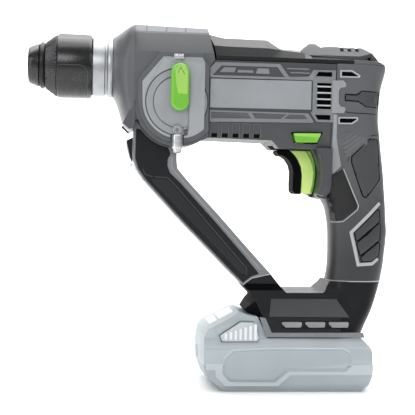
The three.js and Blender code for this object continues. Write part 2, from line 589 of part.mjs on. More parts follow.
function foot() {
  const w = FOOT_HW;
  const cross = [[-w, 36], [w, 36], [w, 56.5], [w - 9, 70.5], [w - 13, 76], [w - 14, 90],
    [14 - w, 90], [13 - w, 76], [9 - w, 70.5], [-w, 56.5]];
  const heel = gripLoft(0, [[79.2, 24, 70.3, 1.0, 2.5], [70, 20, 67.6, 1.12, 2.6], [58, 10, 63, 1.37, 2.9],
    [47, 0, 57.3, 1.6, 3.2], [38, -8, 53, 1.77, 3.4]], 24);
  const blockFront = box(-60, 30, -60, 60, 0, 100);
  const shell = meet(slab(footOutline(), -w - 1, w + 1), bar(cross, -60, 90), join(blockFront, heel));
  const channel = join(
    box(-60, 51, -RAIL.neck - 0.6, RAIL.neck + 0.6, 30, 45),
    box(-60, 51, -RAIL.ear - 0.6, RAIL.ear + 0.6, RAIL.low - 0.4, RAIL.top + 0.6),
  );
  const room = slab([[-30, 56], [-20, 50.5], [48, 50.5], [55, 60], [60, 85], [34, 85], [30, 68.4],
    [-8, 68.4], [-22, 82], [-28, 76]], -14.5, 14.5);
  const wire = slab([[-60, 90], [-38, 80], [-24, 60], [-10, 60], [-12, 90]], -8, 8);
  const bladeWay = box(23, 41, -9.5, 9.5, 46, 51.5);
  const opened = cut(shell, channel, meet(room, box(-60, 90, -60, 60, 50.5, 90)), wire, bladeWay);
  halves("foot", cut(opened, trimSeat(), mirrored(trimSeat()), screwWay(...SCREWS.screw_foot)), BLACK);
  piece("foot_trim_left", trim(), BRIGHT);
  piece("foot_trim_right", mirrored(trim()), BRIGHT);
  terminals();
}

const TRIM = { x0: -8.8, x1: 43, z0: 47.4, z1: 53.2 };
const trimSeat = () => box(TRIM.x0, TRIM.x1, -FOOT_HW - 1, 1.8 - FOOT_HW, TRIM.z0, TRIM.z1);

// Backing strip with three bright ribbed pads.
function trim() {
  const y = -FOOT_HW;
  const back = box(TRIM.x0 + GAP, TRIM.x1 - GAP, y + 0.8, y + 1.5, TRIM.z0 + GAP, TRIM.z1 - GAP);
  const pads = [-7.6, 9.4, 26.6].map((x) =>
    slab([[x + 1.6, TRIM.z0 + 0.6], [x + 14.6, TRIM.z0 + 0.6], [x + 15.4, 50], [x + 14.4, TRIM.z1 - 0.6],
      [x, TRIM.z1 - 0.6], [x, 50]], y - 0.5, y + 1),
  );
  return join(back, ...pads);
}

// Contact block in the shoe, and the controller above it.
function terminals() {
  const holder = box(20, 46, -12, 12, 51, 56);
  const blades = [-8, 0, 8].map((y) => box(24, 40, y - 0.5, y + 0.5, 44, 52));
  piece("terminal_block", cut(join(holder, ...blades), box(44, 50, -20, 20, 53, 60)), BLACK);
  const board = box(-14, 42, -12.5, 12.5, 60, 61.6);
  const chips = [box(-10, 4, -9, 9, 61, 65), box(10, 22, -6, 6, 61, 64), box(28, 36, -9, 9, 61, 67)];
  piece("control_board", join(board, ...chips), BOARD);
}

// ---------- trigger group ----------
function triggerGroup() {
  const front = [[-12.7, 175.4], [-11.2, 173], [-7.6, 172.5], [-3.9, 170.2], [-1, 165.7], [0.3, 160.5],
    [0, 152], [0.2, 146.6], [1.8, 144.2], [6.1, 143.9], [6.6, 158], [5.6, 164.5], [2.6, 170.6],
    [-3, 176.8], [-12.1, 176.8]];
  piece("trigger_pad", slab(front, -9.4, 9.4, 1, 2), BLACK);
  const core = [[-2.4, 176.8], [3.1, 170.8], [6, 164.6], [7, 158], [6.5, 143.9], [15, 144], [16.7, 151],
    [17.6, 160], [16.6, 166], [14.4, 171.6], [11.2, 176.8]];
  const stem = box(14, 25, -4, 4, 156, 164);
  piece("trigger", join(slab(core, -9, 9, 0.8), stem), GREEN);
  piece("switch_module", switchModule(), BLACK);
  piece("direction_button", slab(button(0), 1.2 - BODY_HW - 1, BODY_HW - 0.2, 0.6), GREEN);
}

function switchModule() {
  const block = box(34, 58, -10, 10, 148, 176);
  return join(block, box(40, 52, -6, 6, 140, 149), rodX(31.8, 35, 4, 160, 16));
}

// ---------- screws in the far half ----------
const SCREWS = {
  // x, z, outer end of the head, free length of the shank
  screw_body: [-56, 234, BODY_HW, 9],
  screw_grip: [50, 120, GRIP_HW - 1, 9],
  screw_foot: [8, 64, FOOT_HW - 6, 9],
  screw_arm: [-105, 160, ARM_HW, 9],
};

function screwWay(x, z, y) {
  return join(rodY(x, z, 3.6, y - 2.4, y + 20, 16), rodY(x, z, 1.9, y - 14, y, 12));
}

function screws() {
  Object.entries(SCREWS).forEach(([name, [x, z, y, shank]]) => {
    const head = cut(rodY(x, z, 3.2, y - 2.1, y - 0.4, 14), rodY(x, z, 1.5, y - 1.3, y + 1, 6));
    piece(name, join(head, rodY(x, z, 1.5, y - 2.1 - shank, y - 2, 10)), STEEL);
  });
}

// ---------- battery ----------
const SEAM_Z = 19;
const batteryOutline = () => [[-36.4, 55.4], [-40.8, 56.9], [-65.2, 44.4], [-68, 40.6], [-69.6, 30.1],
  [-68.2, 17.5], [-65.4, 10.6], [-53.4, 0], [51.2, 0], [56, 5], [58.8, 11.9], [58.4, 28.8], [56.9, 32.8],
  [51.4, 38.8], [-20.6, 38.8], [-27.4, 54], [-33.6, 54.6]];

function battery() {
  const w = BATTERY_HW;
  const cross = [[4 - w, 0], [w - 4, 0], [w - 1, 6], [w, 14], [w, 32], [w - 6, 38.8], [w - 7, 47],
    [w - 12, 60], [12 - w, 60], [7 - w, 47], [6 - w, 38.8], [-w, 32], [-w, 14], [1 - w, 6]];
  const bowed = arc(0, 0, w + 0.5, 90, -90, 12).map(([, y]) => [-69.7 + 0.0022 * y * y, y]);
  const plan = slab([...bowed, [54, -w - 0.5], [59, 3 - w], [59, w - 3], [54, w + 0.5]], -65, 5)
    .rotate([-90, 0, 0]);
  const whole = meet(slab(batteryOutline(), -w - 1, w + 1), bar(cross, -90, 80), plan);
  const room = bar([[5.1 - w, 3], [w - 5.1, 3], [w - 4, 8], [w - 4, 30], [w - 6, 35], [6 - w, 35],
    [4 - w, 30], [4 - w, 8]], -48, 51);
  const tunnel = box(-61, -34, -20, 20, 30, 42);
  const rail = join(
    box(-22, 49.5, -RAIL.neck, RAIL.neck, 37, RAIL.top),
    box(-22, 49.5, -RAIL.ear, RAIL.ear, RAIL.low, RAIL.top),
  );
  const slots = [-8, 0, 8].map((y) => box(22, 60, y - 1.2, y + 1.2, 42, 50));
  const full = cut(join(whole, rail), room, tunnel, ...slots, buttonSeat(), mirrored(buttonSeat()));
  piece("battery_lower", meet(full, box(-90, 90, -60, 60, -5, SEAM_Z - SPLIT)), PALE);
  piece("battery_upper", meet(full, box(-90, 90, -60, 60, SEAM_Z + SPLIT, 90)), PALE);
  piece("cell_pack", cellPack(), STEEL);
  const release = slab(RELEASE, -BATTERY_HW + 2.4, -BATTERY_HW + 12, 0.6);
  piece("release_button_left", release, WHITE);
  piece("release_button_right", mirrored(release), WHITE);
}

const RELEASE = [[-57.5, 36.6], [-31.2, 36.8], [-31.6, 47], [-41.5, 48.6], [-57.9, 39.6]];

function buttonSeat() {
  const around = [[-58.6, 36.2], [-30.7, 36.4], [-31.2, 47.5], [-41.6, 49.1], [-58.6, 39.9]];
  return slab(around, -BATTERY_HW - 5, -BATTERY_HW + 19);
}

// Five round cells side by side, welded into one pack.
function cellPack() {
  const [pitch, r, z] = [18.1, 9.2, 13];
  const centres = [-2, -1, 0, 1, 2].map((i) => i * pitch);
  const upper = centres.flatMap((x) => arc(x, z, r, 168, 12, 8));
  const under = centres.reverse().flatMap((x) => arc(x, z, r, -12, -168, 8));
  return slab([...upper, ...under], -32.5, 32.5);
}

toolHolder();
spindle();
piston();
wobbleRing();
intermediateShaft();
motor();
gearCase();
selector();
body();
topCovers();
grip();
arm();
foot();
triggerGroup();
screws();
battery();

export default group;
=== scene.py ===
import math

import bmesh
import bpy
from mathutils import Matrix, Vector, geometry
from mathutils.bvhtree import BVHTree


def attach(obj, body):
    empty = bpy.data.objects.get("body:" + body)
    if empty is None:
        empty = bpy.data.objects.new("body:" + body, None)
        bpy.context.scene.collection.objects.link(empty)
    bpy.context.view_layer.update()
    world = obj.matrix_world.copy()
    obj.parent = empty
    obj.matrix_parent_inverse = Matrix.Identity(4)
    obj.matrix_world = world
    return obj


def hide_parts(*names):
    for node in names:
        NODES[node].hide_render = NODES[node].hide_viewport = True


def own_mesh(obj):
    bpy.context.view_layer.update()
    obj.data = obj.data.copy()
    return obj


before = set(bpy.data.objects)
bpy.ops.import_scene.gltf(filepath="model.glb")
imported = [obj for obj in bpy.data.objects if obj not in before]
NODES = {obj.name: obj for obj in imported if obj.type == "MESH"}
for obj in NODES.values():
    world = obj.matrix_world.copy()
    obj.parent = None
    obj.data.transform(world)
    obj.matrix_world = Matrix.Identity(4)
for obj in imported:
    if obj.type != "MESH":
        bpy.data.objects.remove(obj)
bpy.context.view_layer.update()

# All sizes below are in millimetres; meshes are written in metres.
MM = 0.001
SPINDLE_Z = 235.4
SEL_X, SEL_Z, CASE_R = -88.3, 208.5, 31.9
BODY_HW = 31.0
SIDE_Y = 30.2  # half width of the body's dark base, under its light panels
ARM_HW = 17.0
FOOT_HW = 33.0
BATTERY_HW = 38.0
BACK_X = 27.0

# ------------------------------------------------------------------ materials


def link(tree, a, b):
    tree.links.new(a, b)


def principled(name):
    mat = bpy.data.materials.new(name)
    mat.use_nodes = True
    tree = mat.node_tree
    return mat, tree, tree.nodes["Principled BSDF"]


def noise(tree, coords, scale, detail=3.0, rough=0.5):
    n = tree.nodes.new("ShaderNodeTexNoise")
    n.inputs["Scale"].default_value = scale
    n.inputs["Detail"].default_value = detail
    n.inputs["Roughness"].default_value = rough
    link(tree, coords, n.inputs["Vector"])
    return n.outputs["Fac"]


def spread(tree, value, low, high, start=0.3, end=0.7):
    n = tree.nodes.new("ShaderNodeMapRange")
    n.inputs["From Min"].default_value = start
    n.inputs["From Max"].default_value = end
    n.inputs["To Min"].default_value = low
    n.inputs["To Max"].default_value = high
    link(tree, value, n.inputs["Value"])
    return n.outputs["Result"]


def tint(tree, factor, a, b):
    n = tree.nodes.new("ShaderNodeMix")
    n.data_type = "RGBA"
    n.inputs["A"].default_value = (*a, 1)
    n.inputs["B"].default_value = (*b, 1)
    link(tree, factor, n.inputs["Factor"])
    return n.outputs["Result"]


def shade(colour, k):
    return tuple(min(1.0, c * k) for c in colour)


def moulded(name, colour, rough=0.5, grain=1600, depth=0.00006, vary=0.1, wear_and_glint=0.25, metal=0.0, coat=0.0,
            gloss=0.5, painted_low_shade=None):
    """Moulded or painted surface: fine grain in the bump, soft cloudiness and lighter edges, which are rubbed
    wear on most surfaces and a painted glint where wear_and_glint is high.

    painted_low_shade = (low, high, dark) paints shade that makes it darker towards the low height."""
    mat, tree, bsdf = principled(name)
    coords = tree.nodes.new("ShaderNodeTexCoord").outputs["Object"]
    cloud = noise(tree, coords, 45, 4, 0.6)
    base = tint(tree, spread(tree, cloud, 0, 1, 0.25, 0.75), shade(colour, 1 - vary), shade(colour, 1 + vary))
    if painted_low_shade:
        low, high, dark = painted_low_shade
        height = tree.nodes.new("ShaderNodeSeparateXYZ")
        link(tree, coords, height.inputs["Vector"])
        deepen = tree.nodes.new("ShaderNodeMix")
        deepen.data_type = "RGBA"
        link(tree, spread(tree, height.outputs["Z"], 0, 1, low, high), deepen.inputs["Factor"])
        deepen.inputs["A"].default_value = (*shade(colour, dark), 1)
        link(tree, base, deepen.inputs["B"])
        base = deepen.outputs["Result"]
    edge = spread(tree, tree.nodes.new("ShaderNodeNewGeometry").outputs["Pointiness"], 0, wear_and_glint, 0.52, 0.62)
    mixed = tree.nodes.new("ShaderNodeMix")
    mixed.data_type = "RGBA"
    link(tree, edge, mixed.inputs["Factor"])
    link(tree, base, mixed.inputs["A"])
    mixed.inputs["B"].default_value = (*shade(colour, 1.9), 1)
    link(tree, mixed.outputs["Result"], bsdf.inputs["Base Color"])
    fine = noise(tree, coords, grain, 2, 0.6)
    link(tree, spread(tree, fine, rough - 0.06, rough + 0.08), bsdf.inputs["Roughness"])
    bump = tree.nodes.new("ShaderNodeBump")
    bump.inputs["Strength"].default_value = 0.6
    bump.inputs["Distance"].default_value = depth
    link(tree, fine, bump.inputs["Height"])
    link(tree, bump.outputs["Normal"], bsdf.inputs["Normal"])
    bsdf.inputs["Metallic"].default_value = metal
    bsdf.inputs["Coat Weight"].default_value = coat
    bsdf.inputs["Coat Roughness"].default_value = 0.2
    bsdf.inputs["Specular IOR Level"].default_value = gloss
    return mat


def turned_metal(name, colour, rough=0.28, around="X"):
    """Turned or ground metal: fine rings across the axis and a little dulling."""
    mat, tree, bsdf = principled(name)
    coords = tree.nodes.new("ShaderNodeTexCoord").outputs["Object"]
    stretch = tree.nodes.new("ShaderNodeMapping")
    stretch.inputs["Scale"].default_value = (1, 0.02, 0.02) if around == "X" else (0.02, 0.02, 1)
    link(tree, coords, stretch.inputs["Vector"])
    lines = noise(tree, stretch.outputs["Vector"], 5000, 3, 0.7)
    dull = noise(tree, coords, 120, 4, 0.6)
    link(tree, tint(tree, spread(tree, dull, 0, 1), shade(colour, 0.88), shade(colour, 1.06)),
         bsdf.inputs["Base Color"])
    link(tree, spread(tree, lines, rough - 0.06, rough + 0.1), bsdf.inputs["Roughness"])
    bump = tree.nodes.new("ShaderNodeBump")
    bump.inputs["Strength"].default_value = 0.35
    bump.inputs["Distance"].default_value = 0.00003
    link(tree, lines, bump.inputs["Height"])
    link(tree, bump.outputs["Normal"], bsdf.inputs["Normal"])
    bsdf.inputs["Metallic"].default_value = 1.0
    return mat


LIGHT = moulded("light_grey_plastic", (0.165, 0.173, 0.183), 0.42, gloss=0.4)
CASE = moulded("case_grey_paint", (0.078, 0.083, 0.089), 0.36, gloss=0.5)
PANEL = moulded("panel_grey_plastic", (0.235, 0.247, 0.26), 0.42, gloss=0.4)
# Darker case grey: the colour of the top chamfer band, the rear face and the seam lines, and painted shade on
# the chin facets and the throat under the nose.
CASE_DARK = moulded("case_shadow_grey", (0.052, 0.055, 0.06), 0.46, gloss=0.4)
DARK = moulded("dark_grey_plastic", (0.05, 0.053, 0.058), 0.46, gloss=0.35)
# Grip grey with painted shade, darker towards the bottom of the grip.
GRIP = moulded("grip_grey_plastic", (0.088, 0.092, 0.099), 0.4, grain=1300, depth=0.0001, gloss=0.5,
              painted_low_shade=(0.095, 0.215, 0.3))
PAD = moulded("soft_grip_pad", (0.03, 0.0315, 0.035), 0.5, grain=900, depth=0.00022, wear_and_glint=0.4)
GRIP_BLACK = moulded("satin_black_panel", (0.012, 0.0125, 0.0145), 0.4, gloss=0.3)
BLACK = moulded("black_plastic", (0.006, 0.0064, 0.0075), 0.33, gloss=0.3)
SOFT_BLACK = moulded("soft_black_overmould", (0.0085, 0.009, 0.0105), 0.4, grain=1100, depth=0.0001,
                     gloss=0.2)
# Near-black for painted shadow: sheets in vent openings and lines laid along grooves.
VOID = moulded("vent_black", (0.002, 0.002, 0.0022), 0.8, wear_and_glint=0, gloss=0.1)
GREEN = moulded("green_plastic", (0.13, 0.41, 0.026), 0.34, grain=900, depth=0.00003, vary=0.05, coat=0.15)
# The trigger's lighter, yellower green, brightened further as painted light because the trigger sits in
# shade.
TRIGGER_LIME = moulded("light_green_trigger", (0.56, 0.8, 0.22), 0.36, grain=900, depth=0.00003, vary=0.05)
# Lighter copy of the green: painted highlight on the lever's face and on the direction button's upper edge.
LIME = moulded("light_green_facet", (0.26, 0.47, 0.085), 0.4, grain=900, depth=0.00003, vary=0.05)
PALE = moulded("pale_battery_plastic", (0.345, 0.392, 0.416), 0.5, grain=1400, depth=0.00005, vary=0.04,
               wear_and_glint=0.15)
PALE_LIGHT = moulded("pale_battery_band", (0.46, 0.5, 0.527), 0.5, vary=0.03, wear_and_glint=0.15)
WHITE = moulded("white_battery_plastic", (0.68, 0.71, 0.73), 0.45, vary=0.03, wear_and_glint=0.1)
LINE = moulded("light_parting_line", (0.36, 0.375, 0.39), 0.4, vary=0.04)
# Matt black for the rubber trigger pad, also used as painted shade on the foot's front.
MATT = moulded("matt_black_rubber", (0.0035, 0.0036, 0.004), 0.6, gloss=0.02, wear_and_glint=0.1)
SHINE = moulded("glossy_black", (0.006, 0.0063, 0.0072), 0.24, gloss=0.5)
SATIN = turned_metal("satin_neck_metal", (0.36, 0.37, 0.385), 0.42)
STEEL = turned_metal("ground_steel", (0.5, 0.5, 0.51), 0.26)
CHROME = turned_metal("bright_plated_metal", (0.62, 0.63, 0.65), 0.3, "Z")
SILVER = moulded("silver_trim", (0.24, 0.245, 0.25), 0.34, metal=0.3, vary=0.06)
# Knurl points: the high wear_and_glint lightens their edges as a painted glint.
KNURLED = moulded("knurled_grip_black", (0.022, 0.022, 0.024), 0.26, metal=0.5, wear_and_glint=0.9)
COPPER = moulded("stator_winding", (0.35, 0.16, 0.07), 0.45, metal=0.7)
BOARD = moulded("circuit_board", (0.02, 0.1, 0.045), 0.5)
CELLS = moulded("cell_wrap", (0.08, 0.22, 0.42), 0.4)
LENS = moulded("lamp_lens", (0.75, 0.8, 0.84), 0.12, vary=0.03, wear_and_glint=0)
# Lighter grey on the sleeve's raised beads: painted highlight where light catches them.
BEAD_HIGHLIGHT = moulded("sleeve_mark_grey", (0.05, 0.05, 0.054), 0.3, wear_and_glint=0)
FLOOR = moulded("studio_floor", (0.93, 0.93, 0.93), 0.9, vary=0.005, wear_and_glint=0)

# ------------------------------------------------------------------ mesh helpers


def obj_from(name, verts, faces):
    bm = bmesh.new()
    made = [bm.verts.new(Vector(v) * MM) for v in verts]
    for f in faces:
        bm.faces.new([made[i] for i in f])
    bmesh.ops.remove_doubles(bm, verts=bm.verts, dist=1e-6)
    bmesh.ops.recalc_face_normals(bm, faces=bm.faces)
    return obj_from_bmesh(name, bm)


def obj_from_bmesh(name, bm):
    mesh = bpy.data.meshes.new(name)
    bm.to_mesh(mesh)
    bm.free()
    ob = bpy.data.objects.new(name, mesh)
    bpy.context.scene.collection.objects.link(ob)
    return ob


def stack(name, loops):
    """Closed skin through loops of equal length, with one flat face on each end."""
    n = len(loops[0])
    verts = [p for loop in loops for p in loop]
    faces = [list(range(n)), list(range((len(loops) - 1) * n, len(loops) * n))]
    for k in range(len(loops) - 1):
        for i in range(n):
            j = (i + 1) % n
            faces.append([k * n + i, k * n + j, (k + 1) * n + j, (k + 1) * n + i])
    return obj_from(name, verts, faces)


def slab(name, outline, y0, y1):
    """Side outline (x, z) from y0 to y1."""
    return stack(name, [[(x, y, z) for x, z in outline] for y in (y0, y1)])


def bar(name, outline, x0, x1):
    """Cross outline (y, z) from x0 to x1."""
    return stack(name, [[(x, y, z) for y, z in outline] for x in (x0, x1)])


def block(name, x0, x1, y0, y1, z0, z1):
    return slab(name, [(x0, z0), (x1, z0), (x1, z1), (x0, z1)], y0, y1)


def turned(name, profile, centre, axis="X", segments=96):
    """Closed profile of (position along the axis, radius) turned about an axis through centre."""
    verts, faces, n = [], [], len(profile)
    for s in range(segments):
        a = 2 * math.pi * s / segments
        for h, r in profile:
            u, v = r * math.cos(a), r * math.sin(a)
            p = {"X": (h, u, v), "Y": (u, h, v), "Z": (u, v, h)}[axis]
            verts.append(tuple(c + d for c, d in zip(centre, p)))
        for k in range(n):
            j, t = (k + 1) % n, (s + 1) % segments
            faces.append([s * n + k, s * n + j, t * n + j, t * n + k])
    ob = obj_from(name, verts, faces)
    bm = bmesh.new()
    bm.from_mesh(ob.data)
    bmesh.ops.dissolve_degenerate(bm, dist=1e-7, edges=bm.edges)
    bmesh.ops.recalc_face_normals(bm, faces=bm.faces)
    bm.to_mesh(ob.data)
    bm.free()
    return ob


def baked(ob):
    """Replaces an object's mesh by its evaluated one and drops the modifiers."""
    graph = bpy.context.evaluated_depsgraph_get()
    mesh = bpy.data.meshes.new_from_object(ob.evaluated_get(graph))
    ob.modifiers.clear()
    ob.data = mesh
    return ob


def boolean(ob, tools, kind):
    for tool in tools:
        mod = ob.modifiers.new("cut", "BOOLEAN")
        mod.operation = kind
        mod.solver = "EXACT"
        mod.object = tool
        baked(ob)
        bpy.data.objects.remove(tool)
    return ob


def cut(ob, *tools):
    return boolean(ob, tools, "DIFFERENCE")


def meet(ob, *tools):
    return boolean(ob, tools, "INTERSECT")


def join(ob, *tools):
    return boolean(ob, tools, "UNION")


def arc(cx, cz, r, start, end, steps):
    return [
        (cx + r * math.cos(math.radians(start + (end - start) * i / steps)),
         cz + r * math.sin(math.radians(start + (end - start) * i / steps)))
        for i in range(steps + 1)
    ]


def rounded(outline, radius, steps=4):
    """Rounds the corners; a point may carry its own radius as a third value."""
    out, n = [], len(outline)
    for i in range(n):
        p = Vector(outline[i][:2])
        a, b = Vector(outline[i - 1][:2]) - p, Vector(outline[(i + 1) % n][:2]) - p
        r = outline[i][2] if len(outline[i]) > 2 else radius
        la, lb = a.length, b.length
        if la < 1e-6 or lb < 1e-6:
            continue
        a, b = a / la, b / lb
        half = a.angle(b) / 2
        if r <= 0 or half > math.radians(86):
            out.append(tuple(p))
            continue
        reach = min(r / math.tan(half), la * 0.45, lb * 0.45)
        start, end = p + a * reach, p + b * reach
        for k in range(steps + 1):
            t = k / steps
            q = start * (1 - t) ** 2 + p * 2 * t * (1 - t) + end * t * t
            out.append((q.x, q.y))
    return out


def area(outline):
    """Area inside an outline, negative where it runs the other way round."""
    n = len(outline)
    edges = ((outline[i], outline[(i + 1) % n]) for i in range(n))
    return sum(a[0] * b[1] - b[0] * a[1] for a, b in edges) / 2


def grown(outline, d):
    """Outline moved outwards by d on every side."""
    n, sign = len(outline), 1 if area(outline) > 0 else -1
    out = []
    for i in range(n):
        p = Vector(outline[i])
        a, b = (p - Vector(outline[i - 1])).normalized(), (Vector(outline[(i + 1) % n]) - p).normalized()
        na, nb = Vector((a.y, -a.x)) * sign, Vector((b.y, -b.x)) * sign
        m = na + nb
        if m.length < 1e-3:
            out.append(tuple(p + na * d))
            continue
        m.normalize()
        out.append(tuple(p + m * (d / max(0.35, m.dot(na)))))
    return out


def inside(p, outline):
    x, z = p
    hit = False
    for i in range(len(outline)):
        (x0, z0), (x1, z1) = outline[i - 1], outline[i]
        if (z0 > z) != (z1 > z) and x < (x1 - x0) * (z - z0) / (z1 - z0) + x0:
            hit = not hit
    return hit


def resampled(outline, step, closed=True):
    out, n = [], len(outline)
    for i in range(n if closed else n - 1):
        a, b = Vector(outline[i]), Vector(outline[(i + 1) % n])
        k = max(1, round((b - a).length / step))
        out += [tuple(a.lerp(b, t / k)) for t in range(k)]
    if not closed:
        out.append(outline[-1])
    return out


class Surface:
    """A finished shell that thin pads and lines are laid on, seen along Y."""

    def __init__(self, *obs):
        graph = bpy.context.evaluated_depsgraph_get()
        verts, faces = [], []
        for ob in obs:
            mesh = ob.evaluated_get(graph).to_mesh()
            first = len(verts)
            verts += [v.co.copy() for v in mesh.vertices]
            faces += [[first + i for i in p.vertices] for p in mesh.polygons]
        self.tree = BVHTree.FromPolygons(verts, faces)

    def y(self, x, z, side):
        """Distance of the surface from the middle plane at (x, z), on side -1 or +1."""
        start = Vector((x * MM, side * 0.2, z * MM))
        hit = self.tree.ray_cast(start, Vector((0, -side, 0)))[0]
        if hit is None or hit.y * side <= 0:
            near = self.tree.find_nearest(Vector((x * MM, side * 0.012, z * MM)))[0]
            return abs(near.y) / MM
        return abs(hit.y) / MM


def laid(name, surface, outline, height, edge, side, step=2.5, sunk=0.7):
    """Thin solid pad laid on a surface: full height inside, sloping to the surface over `edge`."""
    rim = resampled(outline, step)
    inner = resampled(grown(outline, -edge), step)
    xs, zs = [p[0] for p in outline], [p[1] for p in outline]
    core = grown(outline, -edge - step * 0.4)
    grid = []
    x = min(xs)
    while x < max(xs):
        z = min(zs)
        while z < max(zs):
            if inside((x, z), core):
                grid.append((x, z))
            z += step
        x += step
    points = rim + inner + grid
    full = [False] * len(rim) + [True] * (len(inner) + len(grid))
    loops = [list(range(len(rim)))]
    edges = [(len(rim) + i, len(rim) + (i + 1) % len(inner)) for i in range(len(inner))]
    verts2, _, tris, origin, _, _ = geometry.delaunay_2d_cdt([Vector(p) for p in points], edges, loops, 1,
                                                             1e-5)
    top, bottom = [], []
    for k, p in enumerate(verts2):
        raised = all(full[o] for o in origin[k]) and bool(origin[k])
        y = surface.y(p.x, p.y, side)
        top.append((p.x, side * (y + (height if raised else 0.02)), p.y))
        bottom.append((p.x, side * (y - sunk), p.y))
    n = len(top)
    count = {}
    for t in tris:
        for i in range(len(t)):
            key = (t[i], t[(i + 1) % len(t)])
            count[key] = count.get(key, 0) + 1
    border = [k for k in count if (k[1], k[0]) not in count]
    faces = [list(t) for t in tris] + [[n + i for i in reversed(t)] for t in tris]
    faces += [[b, a, n + a, n + b] for a, b in border]
    ob = obj_from(name, top + bottom, faces)
    for p in ob.data.polygons:
        p.use_smooth = True
    return ob


def stripe(points, width):
    """Outline of a band of constant width along an open line."""
    left, right = [], []
    for i, p in enumerate(points):
        p = Vector(p)
        before = (p - Vector(points[i - 1])).normalized() if i else None
        after = (Vector(points[i + 1]) - p).normalized() if i + 1 < len(points) else None
        a, b = before or after, after or before
        na, nb = Vector((-a.y, a.x)), Vector((-b.y, b.x))
        m = (na + nb).normalized()
        d = m * (width / 2 / max(0.4, m.dot(na)))
        left.append(tuple(p + d))
        right.append(tuple(p - d))
    return left + right[::-1]


def soften(ob, width=0.5, segments=2, angle=28):
    for p in ob.data.polygons:
        p.use_smooth = True
    mod = ob.modifiers.new("soft_edges", "BEVEL")
    mod.width = width * MM
    mod.segments = segments
    mod.limit_method = "ANGLE"
    mod.angle_limit = math.radians(angle)
    mod.miter_outer = "MITER_ARC"
    ob.modifiers.new("even_shading", "WEIGHTED_NORMAL").keep_sharp = True
    return ob


def smooth(ob, angle=35):
    for p in ob.data.polygons:
        p.use_smooth = True
    ob.data.set_sharp_from_angle(angle=math.radians(angle))
    return ob


def paint(ob, *mats):
    ob.data.materials.clear()
    for m in mats:
        ob.data.materials.append(m)
    return ob


def zone(ob, index, test):
    """Gives a material index to faces whose centre (in mm) and normal pass the test."""
    for p in ob.data.polygons:
        if test(p.center / MM, p.normal):
            p.material_index = index
    return ob


def place(ob, body, slot, *replaced):
    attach(ob, body)
    if replaced:
        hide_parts(*replaced)
    return ob


def mirrored(ob, name):
    """Copy on the other flank."""
    bm = bmesh.new()
    bm.from_mesh(ob.data)
    bmesh.ops.transform(bm, matrix=Matrix.Scale(-1, 4, (0, 1, 0)), verts=bm.verts)
    bmesh.ops.reverse_faces(bm, faces=bm.faces)
    made = obj_from_bmesh(name, bm)
    for m in ob.data.materials:
        made.data.materials.append(m)
    for mod in ob.modifiers:
        if mod.type == "BEVEL":
            soften(made, mod.width / MM, mod.segments, math.degrees(mod.angle_limit))
    return made


def half(ob, name, side, gap=0.12):
    """The part of a solid on one side of the middle plane, closed."""
    bm = bmesh.new()
    bm.from_mesh(ob.data)
    cutline = bmesh.ops.bisect_plane(
        bm, geom=bm.verts[:] + bm.edges[:] + bm.faces[:], dist=1e-7,
        plane_co=(0, side * gap * MM, 0), plane_no=(0, -side, 0), clear_outer=True,
    )
    rim = [e for e in cutline["geom_cut"] if isinstance(e, bmesh.types.BMEdge)]
    bmesh.ops.triangle_fill(bm, edges=rim, use_beauty=True, use_dissolve=True)
    bmesh.ops.recalc_face_normals(bm, faces=bm.faces)
    made = obj_from_bmesh(name, bm)
    for m in ob.data.materials:
        made.data.materials.append(m)
    return made


def both_halves(ob, name, width, segments, body, slot, mats, angle=28):
    """Splits a shell along the middle plane into its two mouldings."""
    out = []
    for tag, side in (("left", -1), ("right", 1)):
        part = half(ob, f"{name}_{tag}_shell", side)
        if mats:
            paint(part, *mats)
        soften(part, width, segments, angle)
        out.append(place(part, body, slot, f"{name}_{tag}"))
    bpy.data.objects.remove(ob)
    return out


# ------------------------------------------------------------------ geometry nodes


def new_tree(name, sockets):
    tree = bpy.data.node_groups.new(name, "GeometryNodeTree")
    tree.interface.new_socket("Geometry", in_out="INPUT", socket_type="NodeSocketGeometry")
    for label, kind in sockets:
        tree.interface.new_socket(label, in_out="INPUT", socket_type=kind)
    tree.interface.new_socket("Geometry", in_out="OUTPUT", socket_type="NodeSocketGeometry")
    return tree, tree.nodes.new("NodeGroupInput"), tree.nodes.new("NodeGroupOutput")


def close_tree(tree, source, geometry_out, ending):
    real = tree.nodes.new("GeometryNodeRealizeInstances")
    colour = tree.nodes.new("GeometryNodeSetMaterial")
    link(tree, geometry_out, real.inputs["Geometry"])
    link(tree, real.outputs["Geometry"], colour.inputs["Geometry"])
    link(tree, source.outputs["Material"], colour.inputs["Material"])
    link(tree, colour.outputs["Geometry"], ending.inputs["Geometry"])


def run_tree(ob, tree, **values):
    """Runs a tree on an object with its named inputs set, and leaves a plain mesh."""
    mod = ob.modifiers.new("pattern", "NODES")
    mod.node_group = tree
    for item in tree.interface.items_tree:
        if item.item_type == "SOCKET" and item.in_out == "INPUT" and item.name.replace(" ", "_") in values:
            mod[item.identifier] = values[item.name.replace(" ", "_")]
    baked(ob)
    bm = bmesh.new()
    bm.from_mesh(ob.data)
    bmesh.ops.remove_doubles(bm, verts=bm.verts, dist=1e-6)
    bm.to_mesh(ob.data)
    bm.free()
    return ob


